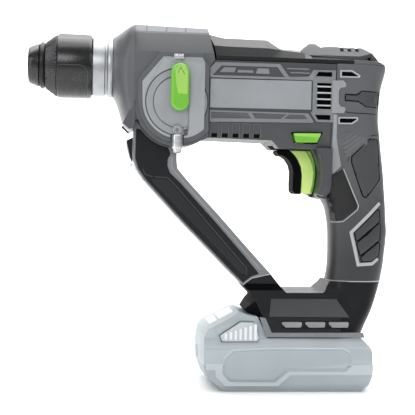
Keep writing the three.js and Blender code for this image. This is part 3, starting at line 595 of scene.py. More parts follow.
def row_tree():
    """Copies of a shape in a row, each a little longer than the last if Grow is above 0."""
    tree, inp, out = new_tree("row_of_shapes", [
        ("Count", "NodeSocketInt"), ("Step", "NodeSocketVector"), ("Grow", "NodeSocketVector"),
        ("Pivot", "NodeSocketVector"), ("Material", "NodeSocketMaterial")])
    line = tree.nodes.new("GeometryNodeMeshLine")
    line.mode = "OFFSET"
    link(tree, inp.outputs["Count"], line.inputs["Count"])
    link(tree, inp.outputs["Step"], line.inputs["Offset"])
    link(tree, inp.outputs["Pivot"], line.inputs["Start Location"])
    index = tree.nodes.new("GeometryNodeInputIndex")
    more = tree.nodes.new("ShaderNodeVectorMath")
    more.operation = "SCALE"
    link(tree, inp.outputs["Grow"], more.inputs[0])
    link(tree, index.outputs["Index"], more.inputs["Scale"])
    size = tree.nodes.new("ShaderNodeVectorMath")
    size.operation = "ADD"
    size.inputs[1].default_value = (1, 1, 1)
    link(tree, more.outputs["Vector"], size.inputs[0])
    put = tree.nodes.new("GeometryNodeInstanceOnPoints")
    link(tree, line.outputs["Mesh"], put.inputs["Points"])
    link(tree, inp.outputs["Geometry"], put.inputs["Instance"])
    link(tree, size.outputs["Vector"], put.inputs["Scale"])
    close_tree(tree, inp, put.outputs["Instances"], out)
    return tree


def ring_tree():
    """Copies of a shape turned about the X axis through Centre."""
    tree, inp, out = new_tree("ring_of_shapes", [
        ("Count", "NodeSocketInt"), ("Centre", "NodeSocketVector"), ("Material", "NodeSocketMaterial")])
    line = tree.nodes.new("GeometryNodeMeshLine")
    line.mode = "OFFSET"
    line.inputs["Offset"].default_value = (0, 0, 0)
    link(tree, inp.outputs["Count"], line.inputs["Count"])
    link(tree, inp.outputs["Centre"], line.inputs["Start Location"])
    index = tree.nodes.new("GeometryNodeInputIndex")
    part = tree.nodes.new("ShaderNodeMath")
    part.operation = "DIVIDE"
    link(tree, index.outputs["Index"], part.inputs[0])
    link(tree, inp.outputs["Count"], part.inputs[1])
    turn = tree.nodes.new("ShaderNodeMath")
    turn.operation = "MULTIPLY"
    turn.inputs[1].default_value = 2 * math.pi
    link(tree, part.outputs[0], turn.inputs[0])
    angles = tree.nodes.new("ShaderNodeCombineXYZ")
    link(tree, turn.outputs[0], angles.inputs["X"])
    spin = tree.nodes.new("FunctionNodeEulerToRotation")
    link(tree, angles.outputs["Vector"], spin.inputs["Euler"])
    put = tree.nodes.new("GeometryNodeInstanceOnPoints")
    link(tree, line.outputs["Mesh"], put.inputs["Points"])
    link(tree, inp.outputs["Geometry"], put.inputs["Instance"])
    link(tree, spin.outputs["Rotation"], put.inputs["Rotation"])
    close_tree(tree, inp, put.outputs["Instances"], out)
    return tree


def coil_tree():
    """Round wire wound on a helix along X."""
    tree, inp, out = new_tree("wound_wire", [
        ("Turns", "NodeSocketFloat"), ("Radius", "NodeSocketFloat"), ("Length", "NodeSocketFloat"),
        ("Wire", "NodeSocketFloat"), ("Start", "NodeSocketVector"), ("Material", "NodeSocketMaterial")])
    spiral = tree.nodes.new("GeometryNodeCurveSpiral")
    spiral.inputs["Resolution"].default_value = 28
    link(tree, inp.outputs["Turns"], spiral.inputs["Rotations"])
    link(tree, inp.outputs["Radius"], spiral.inputs["Start Radius"])
    link(tree, inp.outputs["Radius"], spiral.inputs["End Radius"])
    link(tree, inp.outputs["Length"], spiral.inputs["Height"])
    round_wire = tree.nodes.new("GeometryNodeCurvePrimitiveCircle")
    round_wire.inputs["Resolution"].default_value = 8
    link(tree, inp.outputs["Wire"], round_wire.inputs["Radius"])
    skin = tree.nodes.new("GeometryNodeCurveToMesh")
    skin.inputs["Fill Caps"].default_value = True
    link(tree, spiral.outputs["Curve"], skin.inputs["Curve"])
    link(tree, round_wire.outputs["Curve"], skin.inputs["Profile Curve"])
    move = tree.nodes.new("GeometryNodeTransform")
    move.inputs["Rotation"].default_value = (0, math.pi / 2, 0)
    link(tree, skin.outputs["Mesh"], move.inputs["Geometry"])
    link(tree, inp.outputs["Start"], move.inputs["Translation"])
    close_tree(tree, inp, move.outputs["Geometry"], out)
    return tree


def knurl_tree():
    """Diamond points in staggered rows round a cone along X."""
    tree, inp, out = new_tree("diamond_knurl", [
        ("Around", "NodeSocketInt"), ("Rows", "NodeSocketInt"), ("Start X", "NodeSocketFloat"),
        ("End X", "NodeSocketFloat"), ("Start Radius", "NodeSocketFloat"), ("End Radius", "NodeSocketFloat"),
        ("Centre", "NodeSocketVector"), ("Material", "NodeSocketMaterial")])
    add = tree.nodes.new

    def maths(kind, a, b=None, c=None):
        n = add("ShaderNodeMath")
        n.operation = kind
        for k, v in enumerate((a, b, c)):
            if v is None:
                continue
            if isinstance(v, (int, float)):
                n.inputs[k].default_value = v
            else:
                link(tree, v, n.inputs[k])
        return n.outputs[0]

    total = maths("MULTIPLY", inp.outputs["Around"], inp.outputs["Rows"])
    line = add("GeometryNodeMeshLine")
    line.mode = "OFFSET"
    line.inputs["Offset"].default_value = (0, 0, 0)
    link(tree, total, line.inputs["Count"])
    index = add("GeometryNodeInputIndex").outputs["Index"]
    row = maths("FLOOR", maths("DIVIDE", index, inp.outputs["Around"]))
    column = maths("SUBTRACT", index, maths("MULTIPLY", row, inp.outputs["Around"]))
    shift = maths("MULTIPLY", maths("MODULO", row, 2.0), 0.5)
    angle = maths("MULTIPLY", maths("DIVIDE", maths("ADD", column, shift), inp.outputs["Around"]),
                  2 * math.pi)
    along = maths("DIVIDE", maths("ADD", row, 0.5), inp.outputs["Rows"])
    x = maths("MULTIPLY_ADD", along, maths("SUBTRACT", inp.outputs["End X"], inp.outputs["Start X"]),
              inp.outputs["Start X"])
    r = maths("MULTIPLY_ADD", along, maths("SUBTRACT", inp.outputs["End Radius"],
                                           inp.outputs["Start Radius"]),
              inp.outputs["Start Radius"])
    spot = add("ShaderNodeCombineXYZ")
    link(tree, x, spot.inputs["X"])
    link(tree, maths("MULTIPLY", r, maths("COSINE", angle)), spot.inputs["Y"])
    link(tree, maths("MULTIPLY", r, maths("SINE", angle)), spot.inputs["Z"])
    moved = add("ShaderNodeVectorMath")
    link(tree, spot.outputs["Vector"], moved.inputs[0])
    link(tree, inp.outputs["Centre"], moved.inputs[1])
    put_at = add("GeometryNodeSetPosition")
    link(tree, line.outputs["Mesh"], put_at.inputs["Geometry"])
    link(tree, moved.outputs["Vector"], put_at.inputs["Position"])
    turn = add("ShaderNodeCombineXYZ")
    link(tree, angle, turn.inputs["X"])
    spin = add("FunctionNodeEulerToRotation")
    link(tree, turn.outputs["Vector"], spin.inputs["Euler"])
    put = add("GeometryNodeInstanceOnPoints")
    link(tree, put_at.outputs["Geometry"], put.inputs["Points"])
    link(tree, inp.outputs["Geometry"], put.inputs["Instance"])
    link(tree, spin.outputs["Rotation"], put.inputs["Rotation"])
    close_tree(tree, inp, put.outputs["Instances"], out)
    return tree


ROW, RING, COIL, KNURL = row_tree(), ring_tree(), coil_tree(), knurl_tree()


def vec(x, y, z):
    return (x * MM, y * MM, z * MM)


def row_of(ob, count, step, mat, grow=(0, 0, 0), pivot=(0, 0, 0)):
    """Repeats a shape along a step; it grows about the pivot, which the shape is built around."""
    return run_tree(ob, ROW, Count=count, Step=vec(*step), Grow=grow, Pivot=vec(*pivot), Material=mat)


# ------------------------------------------------------------------ tool holder


def tool_holder():
    centre = (0, 0, SPINDLE_Z)
    cap = [(-198, 5.8), (-198, 11.9), (-197.7, 12.8), (-197, 13.4), (-196, 13.9), (-191.6, 15.6),
           (-190.3, 15.9), (-189.8, 15.5), (-189.7, 14.6), (-189.7, 10), (-192.5, 10), (-192.5, 5.8)]
    place(paint(smooth(turned("dust_cap_lip", cap, centre)), SHINE), "spindle", "rubber_black", "dust_cap")
    ring = [(-189.4, 9.8), (-189.4, 16.1), (-189.1, 16.8), (-188.3, 17.2), (-187.2, 17.2), (-186.3, 16.8),
            (-185.9, 16.3), (-185.5, 16.0), (-185.5, 9.8)]
    place(paint(smooth(turned("retaining_ring_bead", ring, centre), 50), BLACK), "spindle", "plastic_black",
          "retaining_ring")
    cone = [(-185.2, 14.5), (-185.2, 16.7), (-184.8, 17.0), (-177.6, 22.3), (-177.1, 22.3), (-177.1, 20.5)]
    body = paint(smooth(turned("grip_cone_body", cone, centre)), BLACK)
    place(body, "sleeve", "plastic_black", "grip_cone")
    point = obj_from("cone_knurl", [(-0.95, 0, 0), (0, 0, -1.15), (0.95, 0.66, 0), (0, 0, 1.15),
                                    (0, 0.62, 0)],
                     [(0, 1, 4), (1, 2, 4), (2, 3, 4), (3, 0, 4), (0, 3, 2, 1)])
    run_tree(point, KNURL, Around=46, Rows=9, Start_X=-184.9 * MM, End_X=-177.4 * MM, Start_Radius=16.75 * MM,
             End_Radius=22.15 * MM, Centre=vec(0, 0, SPINDLE_Z), Material=KNURLED)
    place(point, "sleeve", "plastic_black")
    sleeve = [(-176.8, 10.2), (-176.8, 22.5), (-176.5, 23.1), (-175.9, 23.45), (-175.2, 23.55),
              (-153.2, 23.55),
              (-152.6, 23.35), (-152.1, 22.95), (-151.5, 22.9), (-151.5, 21.95), (-164, 21.95), (-164, 18.5),
              (-173.5, 18.5), (-173.5, 10.2)]
    place(paint(smooth(turned("sleeve_body", sleeve, centre)), SHINE), "sleeve", "plastic_black",
          "locking_sleeve")
    sleeve_highlight_beads()
    coil = obj_from("sleeve_spring_wire", [(0, 0, 0), (1, 0, 0), (0, 1, 0)], [(0, 1, 2)])
    run_tree(coil, COIL, Turns=3.5, Radius=12.6 * MM, Length=18.6 * MM, Wire=0.9 * MM,
             Start=vec(-171.5, 0, SPINDLE_Z), Material=STEEL)
    place(smooth(coil, 60), "spindle", "steel", "chuck_spring")
    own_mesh(coil)


def on_sleeve(x, degrees, r):
    a = math.radians(degrees)
    return (x, -r * math.cos(a), SPINDLE_Z - r * math.sin(a))


def wire(name, points, r, sides=6, closed=False):
    """Thin round bead along a line of points."""
    loops, n = [], len(points)
    for i, p in enumerate(points):
        p = Vector(p)
        a = Vector(points[i - 1] if i or closed else p)
        b = Vector(points[(i + 1) % n] if i + 1 < n or closed else p)
        d = (b - a).normalized()
        u = d.orthogonal().normalized() if not loops else (u - d * u.dot(d)).normalized()
        v = d.cross(u)
        angles = [2 * math.pi * k / sides for k in range(sides)]
        loops.append([tuple(p + u * r * math.cos(t) + v * r * math.sin(t)) for t in angles])
    return smooth(stack(name, loops), 70)


def sleeve_highlight_beads():
    """Two raised panel outlines round the sleeve, each with a small arrow, in lighter grey as a painted
    highlight.
    """
    r = 23.58
    corner = arc(0, 0, 1, 90, 0, 6)
    path = [on_sleeve(-175, 4, r)] + [on_sleeve(-160 + 5.8 * c[0], 20 - 16 * c[1], r) for c in corner]
    path += [on_sleeve(-154.2, a, r) for a in range(28, 92, 5)]
    path += [on_sleeve(-160 + 5.8 * c[0], 94 + 14 * c[1], r) for c in reversed(corner)] + [on_sleeve(-175,
                                                                                                     108, r)]
    bead = wire("sleeve_panel_lines", path, 0.24)
    arrow = wire("sleeve_arrow", [on_sleeve(-165, 31, r), on_sleeve(-162.4, 21.5, r),
                                  on_sleeve(-158.8, 33, r)], 0.28)
    for ob in (bead, arrow):
        ob.data.transform(Matrix.Translation(vec(0, 0, -SPINDLE_Z)))
        run_tree(ob, RING, Count=2, Centre=vec(0, 0, SPINDLE_Z), Material=BEAD_HIGHLIGHT)
        place(ob, "sleeve", "plastic_black")


# ------------------------------------------------------------------ gear case


def gear_case():
    side = rounded([(-121.5, 261.0, 1), (-120.9, 265.8, 1.5), (-67.2, 264.2, 1), (-62.8, 240, 0),
                    (-66.8, 234, 0),
                    (-66.8, 185, 0)] + [(*p, 0) for p in arc(SEL_X, SEL_Z, CASE_R, -47.5, -180, 28)]
                   + [(-121.5, 211, 2)], 1)
    w = BODY_HW
    cross = [(-w, 170), (w, 170), (w, 244.5), (w - 9, 259), (w - 17, 266.6), (17 - w, 266.6), (9 - w, 259),
             (-w, 244.5)]
    shell = meet(slab("gear_case_shell", side, -40, 40), bar("t", cross, -140, -40))
    room = [(-116.9, 243), (-40, 243), (-40, 187.5), (-66, 187.5), (-72, 185), (-100, 185), (-104, 186.5),
            (-112, 192), (-115.5, 198), (-116.9, 206)]
    cut(shell, slab("t", room, 3 - w, w - 3),
        turned("t", [(-116.8, 0), (-116.8, 25.6), (-40, 25.6), (-40, 0)], (0, 0, SPINDLE_Z), segments=48),
        turned("t", [(-140, 0), (-140, 15), (-110, 15), (-110, 0)], (0, 0, SPINDLE_Z), segments=48))
    paint(shell, CASE, CASE_DARK, LIGHT)
    zone(shell, 1, lambda c, n: 243 < c.z < 262 and abs(n.y) > 0.5 and n.z > 0.2)
    zone(shell, 1, lambda c, n: c.x > -66 and n.x > 0.9)
    soften(shell, 0.7, 3)
    place(shell, "housing", "case_grey", "gear_case")
    nose = stack("gear_case_nose", nose_loops())
    paint(smooth(nose, 50), CASE)
    place(nose, "housing", "case_grey")
    # Darker plates on the chin's flanks: painted shade where the chin turns back towards the case.
    for tag, side in (("left", -1), ("right", 1)):
        chin = facet(f"chin_facet_{tag}", [(-128.6, 27.6, 192.6), (-123.6, 30.4, 188.2),
                                           (-119.8, 31.2, 190.2),
                                           (-119.4, 31.35, 211)], side, 0.9)
        paint(soften(chin, 0.3, 2), CASE_DARK)
        place(chin, "housing", "case_grey")
    top_strip()
    neck = [(-151.2, 17.3), (-151.2, 20.9), (-150.9, 21.3), (-150.3, 21.5), (-142.3, 21.5), (-141.8, 21.1),
            (-141.6, 20.4), (-140.4, 20.3), (-140.1, 21.2), (-139.7, 22.0), (-139.1, 22.2), (-137.2, 22.2),
            (-136.3, 21.9), (-135.9, 21.5), (-135.9, 14.7), (-139.7, 14.7), (-139.7, 17.3)]
    place(paint(smooth(turned("neck_ring", neck, (0, 0, SPINDLE_Z))), SATIN), "housing", "neck_satin",
          "neck_collar")


def facet(name, points, side, thick):
    """Flat plate on a slanting surface; points are (x, distance from the middle plane, z)."""
    outer = [(x, side * y, z) for x, y, z in points]
    return stack(name, [outer, [(x, y - side * thick, z) for x, y, z in outer]])


def nose_loops():
    w = BODY_HW
    stations = [(-135.9, 257.6, 213.2, 22.2, 2), (-134, 258.6, 210.5, 23.2, 2.05),
                (-131.5, 260.2, 203.8, 25.4, 2.3),
                (-128.5, 262.1, 193.6, 28, 2.9), (-126.2, 263.4, 190.9, 29.4, 3.6),
                (-123.6, 264.7, 188.6, 30.5, 4.6), (-121, 265.5, 188, w, 5.5)]
    loops = []
    for x, top, bottom, half_w, power in stations:
        loop = []
        for i in range(72):
            a = 2 * math.pi * (i + 0.5) / 72
            c, s = math.cos(a), math.sin(a)
            y = half_w * math.copysign(abs(c) ** (2 / power), c)
            z = (top + bottom) / 2 + (top - bottom) / 2 * math.copysign(abs(s) ** (2 / power), s)
            loop.append((x, y, z))
        loops.append(loop)
    return loops


def top_strip():
    """Light rail along each upper edge of the gear case, notched three times."""
    for tag, side in (("left", -1), ("right", 1)):
        loops = []
        for x, top in ((-120.7, 265.5), (-67.0, 263.95)):
            edge = 14.2 + (266.85 - top - 0.15) * 1.05
            loops.append([(x, side * (edge - 2.2), top + 0.2), (x, side * edge, top + 0.2),
                          (x, side * 20.6, 260.75), (x, side * 21.2, 259.9), (x, side * 19.6, 259.4),
                          (x, side * (edge - 2.2), top - 1.4)])
        rail = stack(f"case_top_rail_{tag}", loops)
        notches = [slab("t", [(x, 270), (x + 0.9, 270), (x - 1.2, 255), (x - 2.1, 255)], -40, 40)
                   for x in (-111.6, -96.9, -83)]
        cut(rail, *notches)
        paint(soften(rail, 0.3, 2), LIGHT)
        place(rail, "housing", "case_grey")
        # Darker grey fill under the nose, where it meets the arm: painted shade.
        throat = slab(f"case_throat_{tag}", [(-122.0, 211.5), (-121.4, 189), (-120.6, 189), (-120.4, 195.4),
                                             (-117.6, 195.6)] + arc(SEL_X, SEL_Z, CASE_R - 0.2, -156, -180,
                                                                    6),
                      side * 0.2, side * 30.6)
        place(paint(soften(throat, 0.2, 2), CASE_DARK), "housing", "case_grey")


# ------------------------------------------------------------------ mode selector

COVER_RIM = [(-102.3, 244.2, 1), (-118.2, 224.2, 1.5), (-117.7, SEL_Z, 0)] + [
    (*p, 0) for p in arc(SEL_X, SEL_Z, CASE_R - 2.5, -180, -43, 24)] + [
    (-66.95, 196, 0), (-66.95, 233, 1), (-71, 241, 1), (-72.2, 244.2, 1)]


def selector():
    face = BODY_HW + 3.3
    back = BODY_HW + 0.3
    rim = rounded(COVER_RIM, 1)
    frame_piece = slab("selector_cover_frame", rim, -face + 0.9, -back)
    cut(frame_piece, slab("t", [(-94.3, 170), (-84.5, 170), (-84.5, 185.3), (-94.3, 185.3)], -40, -20),
        turned("t", [(-40, 0), (-40, 20.9), (-20, 20.9), (-20, 0)], (SEL_X, 0, SEL_Z), "Y", 72))
    paint(soften(frame_piece, 0.7, 2), CASE)
    place(frame_piece, "housing", "plastic_light_grey", "selector_cover")
    plate = rounded([(-100.2, 240.7, 1), (-115.1, 222.6, 1.5), (-114.7, SEL_Z, 0)] + [
        (*p, 0) for p in arc(SEL_X, SEL_Z, CASE_R - 5.6, -180, -47, 24)] + [(-70.2, 190.5, 0),
                                                                            (-70.2, 237, 1),
                                                                           (-72.4, 240.7, 1)], 1)
    panel = slab("selector_cover_plate", plate, -face, -back - 0.6)
    well = arc(SEL_X, SEL_Z, 24.6, 74.5, 285.5, 56)
    hole = arc(SEL_X, SEL_Z, 20.9, 71.5, 288.5, 44)
    cut(panel, slab("t", well, -face - 2, -face + 1.2), slab("t", hole, -face - 2, -20),
        turned("t", [(-face + 1.3, 0), (-face + 1.3, 20.9), (-20, 20.9), (-20, 0)], (SEL_X, 0, SEL_Z), "Y",
               72), slab("t", [(-94.3, 170), (-84.5, 170), (-84.5, 185.3), (-94.3, 185.3)], -40, -20))
    paint(soften(panel, 0.35, 2), PANEL)
    place(panel, "housing", "plastic_light_grey")
    ring = arc(SEL_X, SEL_Z, 23.8, 81, 279, 56) + arc(SEL_X, SEL_Z, 19.0, 279, 81, 48)
    bead = slab("selector_well_ring", ring, -face + 0.12, -face + 1.25)
    paint(soften(bead, 0.3, 2), PANEL)
    place(bead, "housing", "plastic_light_grey")
    chord = slab("selector_right_land", rounded([(-81.9, 187.6), (-81.9, 227.4), (-80.9, 227.4),
                                                 (-80.9, 187.6)], 0.2),
                 -face - 0.06, -face + 1.0)
    place(paint(soften(chord, 0.2, 2), LIGHT), "housing", "plastic_light_grey")
    disc = [(-face + 0.35, 0), (-face + 0.35, 17.9), (-face + 0.55, 18.3), (-face + 1.4, 18.4),
            (-face + 1.5, 20.2), (-back - 0.1, 20.2), (-back - 0.1, 0)]
    place(paint(smooth(turned("selector_disc_face", disc, (SEL_X, 0, SEL_Z), "Y", 96), 30), PANEL),
          "selector", "plastic_light_grey", "selector_disc")
    lever(face)
    lug(face)


def lever(face):
    top, low, r = SEL_Z + 20.6, SEL_Z, 6.6
    shape = arc(SEL_X, low, r, 180, 360, 20) + arc(SEL_X, top, r, 0, 180, 20)
    knob = slab("selector_lever_grip", shape, -face - 6.3, -face - 0.35)
    paint(soften(knob, 2.0, 5, 40), GREEN)
    place(knob, "selector", "green", "selector_lever")
    hub = turned("selector_lever_hub", [(-face - 0.6, 0), (-face - 0.6, 5.3), (-face + 1.15, 5.3),
                                        (-face + 1.15, 0)], (SEL_X, 0, SEL_Z), "Y", 40)
    place(paint(soften(hub, 0.2), GREEN), "selector", "green")
    # Lighter green patch on the lever's face: painted highlight.
    bright = rounded([(-89.9, 213.9, 0.4), (-83.1, 213.5, 0.8), (-82.9, 229.6, 2.5), (-85.4, 233.9, 2.5),
                      (-89.6, 234.2, 2), (-92.4, 231, 1.5), (-91.6, 222, 1)], 1)
    light = slab("selector_lever_facet", bright, -face - 6.33, -face - 5.5)
    place(paint(soften(light, 0.25, 2), LIME), "selector", "green")
    mark = stripe([(-90.3, 228.2), (-88.2, 232.6), (-85.3, 227.4)], 0.4)
    tick = slab("selector_lever_mark", mark, -face - 6.39, -face - 5.6)
    place(paint(soften(tick, 0.06, 1), DARK), "selector", "green")


def lug(face):
    """Bright stud above the lever, and the lug with its stepped bolt below it."""
    stud = slab("upper_stud_bar", rounded([(-92.8, 239), (-85.8, 239), (-85.8, 242.5), (-92.8, 242.5)], 0.6),
                -face - 2.4, -face - 0.3)
    notches = [slab("t", [(x, 241.4), (x + 0.7, 241.4), (x + 0.7, 244), (x, 244)], -face - 3, -face - 1.2)
               for x in (-91.4, -89.6, -87.8)]
    place(paint(soften(cut(stud, *notches), 0.3, 3), CHROME), "housing", "bright_metal", "upper_stud")
    seat = slab("bolt_lug", rounded([(-93.2, 185.4, 0.3), (-85.8, 185.4, 0.3), (-85.8, 190.6, 1.5),
                                     (-93.2, 190.6, 1.5)], 1), -face - 0.9, -face + 0.7)
    place(paint(soften(seat, 0.4, 2), LIGHT), "housing", "plastic_light_grey")
    eye = [(-face - 1.5, 1.3), (-face - 1.5, 3.1), (-face - 1.1, 3.5), (-face + 0.7, 3.5), (-face + 0.7, 1.3)]
    place(paint(smooth(turned("bolt_lug_eye", eye, (-89.6, 0, 188.3), "Y", 32)), PANEL), "housing",
          "plastic_light_grey")
    bolt = [(171.6, 0), (171.6, 2.2), (172.1, 3.0), (174.6, 3.3), (174.8, 3.7), (175.2, 3.9), (177.2, 3.9),
            (177.4, 3.7), (177.7, 3.7), (177.9, 3.9), (179.9, 3.9), (180.1, 3.7), (180.4, 3.7), (180.6, 3.9),
            (184.2, 3.9), (184.7, 3.5), (184.7, 0)]
    place(paint(smooth(turned("clamp_bolt_barrel", bolt, (-89.4, -BODY_HW - 4.4, 0), "Z", 40)), CHROME),
          "housing", "bright_metal", "clamp_bolt")


# ------------------------------------------------------------------ motor body


def body():
    w = SIDE_Y
    side = [(-62.4, 239.9), (-66.4, 233.8), (-66.4, 183.8), (-19.5, 182.9), (-14.1, 177.5),
            (BACK_X - 0.1, 177.5), (BACK_X - 0.1, 239.9)]
    cross = [(-w, 260), (-w, 197), (5 - w, 176.5), (w - 5, 176.5), (w, 197), (w, 260)]
    shell = meet(slab("body_shell", side, -40, 40), bar("t", cross, -80, 60))
    flank = rounded([(-8, 182, 0), (11.5, 178.2, 1), (14.8, 172, 2), (17.2, 165.5, 2), (18, 160, 2),
                     (17, 151, 2),
                     (15.6, 144.6, 1.5), (17.4, 141.9, 1), (23.8, 140.4, 1), (26.9, 140.4, 0), (26.9, 186, 0),
                     (-8, 186, 0)], 1)
    housing = soften(slab("t", flank, -18.8, 18.8), 2.5, 4, 40)
    join(shell, baked(housing))
    room = [(-90, 250), (-90, 187), (-20, 187), (-16, 181), (40, 181), (40, 250)]
    room_cross = [(3 - w, 260), (3 - w, 198), (8 - w, 179), (w - 8, 179), (w - 3, 198), (w - 3, 260)]
    cut(shell, meet(slab("t", room, -40, 40), bar("t", room_cross, -100, 60)),
        block("t", -12, 60, -10.4, 10.4, 143.2, 186), block("t", -30, 19, -10.4, 10.4, 130, 180.5),
        block("t", 24.4, 60, -60, 60, 130, 203.7))
    slot_row = slab("t", [(-2.2, -1.4), (2.2, -1.4), (2.2, 1.5), (-2.2, 1.5)], -40, 40)
    cut(shell, row_of(slot_row, 5, (7.8, 0, 0), VOID, pivot=(-62, 0, 185.7)))
    for outline in (BUTTON_SEAT, [(12.2, 206.2), (23.4, 206.2), (23.4, 226), (12.2, 226)],
                    [(11.2, 230.2), (23.5, 230.2), (23.5, 233.9), (13.2, 233.9)],
                    [(13.2, 198.6), (22.9, 198.6), (22.9, 202.5), (11, 202.5)]):
        cut(shell, slab("t", outline, -40, 40))
    both_halves(shell, "body", 0.6, 2, "housing", "plastic_light_grey", [DARK])
    for tag, s in (("near", -1), ("far", 1)):
        side_panels(tag, s)
        low_vents(tag, s)
    screw_plugs()


BUTTON = [(-4.4, 188.6), (16.8, 189.1), (13.6, 182.1), (-1.9, 181.8)]
BUTTON_FACE = ((-3.6, 188.4), (15.9, 186.3))
BUTTON_SEAT = [(-5.8, 189.4), (18.3, 189.9), (14.4, 181.1), (-2.9, 180.7)]


def tile(name, outline, side, top, low, mat, bevel=0.3, holes=(), slot="plastic_light_grey",
         recesses=(), deep=0.6, floor=None):
    """Raised plate on one flank, with holes right through and shallow recesses with a floor of their own."""
    ob = slab(name, outline, side * low, side * top)
    for h in holes:
        cut(ob, slab("t", h, side * (low - 3), side * (top + 3)))
    for r in recesses:
        cut(ob, slab("t", r, side * (top - deep), side * (top + 3)))
    paint(ob, mat, floor or mat)
    zone(ob, 1, lambda c, n: abs(c.y) < top - deep * 0.8 and abs(c.y) > low + 0.05 and n.y * side > 0.9)
    soften(ob, bevel, 2)
    return place(ob, "housing", slot)


def side_panels(tag, s):
    low, top = SIDE_Y - 0.6, SIDE_Y + 0.75
    upper = [(-66.2, 234.2), (-62.2, 238.3), (-15.2, 238.5), (-8.2, 229.2), (6.2, 230.0), (9.6, 235.0),
             (26.3, 235.2),
             (26.3, 227.9), (26.8, 227.4), (26.8, 204.4), (26.3, 203.8), (26.3, 197.0), (12.5, 197.2),
             (8.3, 203.3), (9.3, 205.3), (9.3, 227.3), (-66.2, 227.3)]
    deco = [(-64.4, 228.9), (-58.0, 235.9), (-17.2, 236.1), (-11.6, 229.1)]
    holes = [rounded([(12.6, 206.6), (23.2, 206.6), (23.2, 225.7), (12.6, 225.7)], 0.6),
             [(11.2, 230.4), (23.5, 230.4), (23.5, 233.8), (13.4, 233.8)],
             [(13.6, 198.8), (22.9, 198.8), (22.9, 202.4), (11.2, 202.4)]]
    tile(f"upper_side_panel_{tag}", rounded(upper, 0.7, 3), s, top, low, LIGHT, 0.3, holes, recesses=[deco],
         deep=0.8, floor=CASE)
    hook = [(23.8, 227.7), (31.9, 228.0), (34.1, 225.6), (33.7, 223.1), (30.4, 222.6), (28.7, 220.6),
            (28.7, 211.4), (30.3, 208.8), (33.4, 208.6), (34.1, 206.0), (32.4, 204.0), (23.8, 203.8)]
    tile(f"rear_hook_panel_{tag}", rounded(hook, 0.8, 3), s, 31.5, 29.5, PANEL, 0.4)
    tile(f"maker_panel_{tag}", rounded([(-65.9, 205.5), (-65.9, 226.3), (8.4, 226.7), (8.4, 205.9)], 0.6), s,
         top + 0.1, low, PANEL, 0.35)
    lower = [(-65.9, 203.6), (6.4, 203.2), (10.6, 197.2), (9.6, 196.4), (-65.9, 195.2)]
    tile(f"lower_side_panel_{tag}", rounded(lower, 0.5), s, top - 0.1, low - 1.2, LIGHT, 0.3,
         recesses=[[(-64.9, 202.4), (-38.3, 202.3), (-35.6, 198.3), (-64.9, 197.7)],
                   [(-32.6, 198.4), (-35.2, 202.3), (-9.8, 202.0), (-13.9, 198.6)],
                   [(-11.6, 198.7), (-7.6, 202.0), (3.4, 201.9), (5.8, 199.0)]], deep=0.6, floor=CASE)
    bars = [[(-59.3, 231.2), (-48.6, 231.4), (-47.3, 234.9), (-56.2, 234.8)],
            [(-46.4, 231.4), (-34.5, 231.4), (-34.9, 233.2), (-45.8, 233.2)],
            [(-32.9, 231.0), (-22.6, 231.0), (-23.4, 234.9), (-31.6, 234.9)]]
    for k, b in enumerate(bars):
        tile(f"side_inlay_{tag}_{k}", b, s, top - 0.2, top - 1.0, LIGHT, 0.2)
    edge = rounded([(24.3, 203.6), (27.9, 203.6), (28.1, 196.6), (26.4, 196.4), (26.2, 203), (24.3, 203)],
                   0.2)
    tile(f"panel_corner_{tag}", edge, s, top, low, LIGHT, 0.15)
    rib = slab(f"dark_corner_ribs_{tag}", rounded([(-10, -0.35), (6.4, -0.35), (6.4, 0.35), (-10, 0.35)],
                                                  0.3), s * (SIDE_Y - 0.3), s * (SIDE_Y + 0.35))
    row_of(rib, 2, (1.4, 0, -2.9), LIGHT, grow=(-0.12, 0, 0), pivot=(0, 0, 235.4))
    place(rib, "housing", "plastic_light_grey")
    slat = slab(f"cooling_slats_{tag}", rounded([(-5.4, -0.5), (5.4, -0.5), (5.4, 0.5), (-5.4, 0.5)], 0.3),
                s * (SIDE_Y - 2.2), s * (SIDE_Y + 0.55))
    row_of(slat, 4, (0, 0, 4.6), LINE, pivot=(17.9, 0, 209.3))
    place(slat, "housing", "plastic_light_grey")
    # Black sheets behind the vent openings: painted shadow inside the vents.
    for k, (x0, x1, z0, z1) in enumerate(((9, 26, 204.5, 227), (9, 26, 229, 235), (9, 26, 197.4, 203.6))):
        hood = block(f"vent_shadow_{tag}_{k}", x0, x1, s * (SIDE_Y - 3.4), s * (SIDE_Y - 2.9), z0, z1)
        place(paint(soften(hood, 0.15), VOID), "housing", "plastic_black")


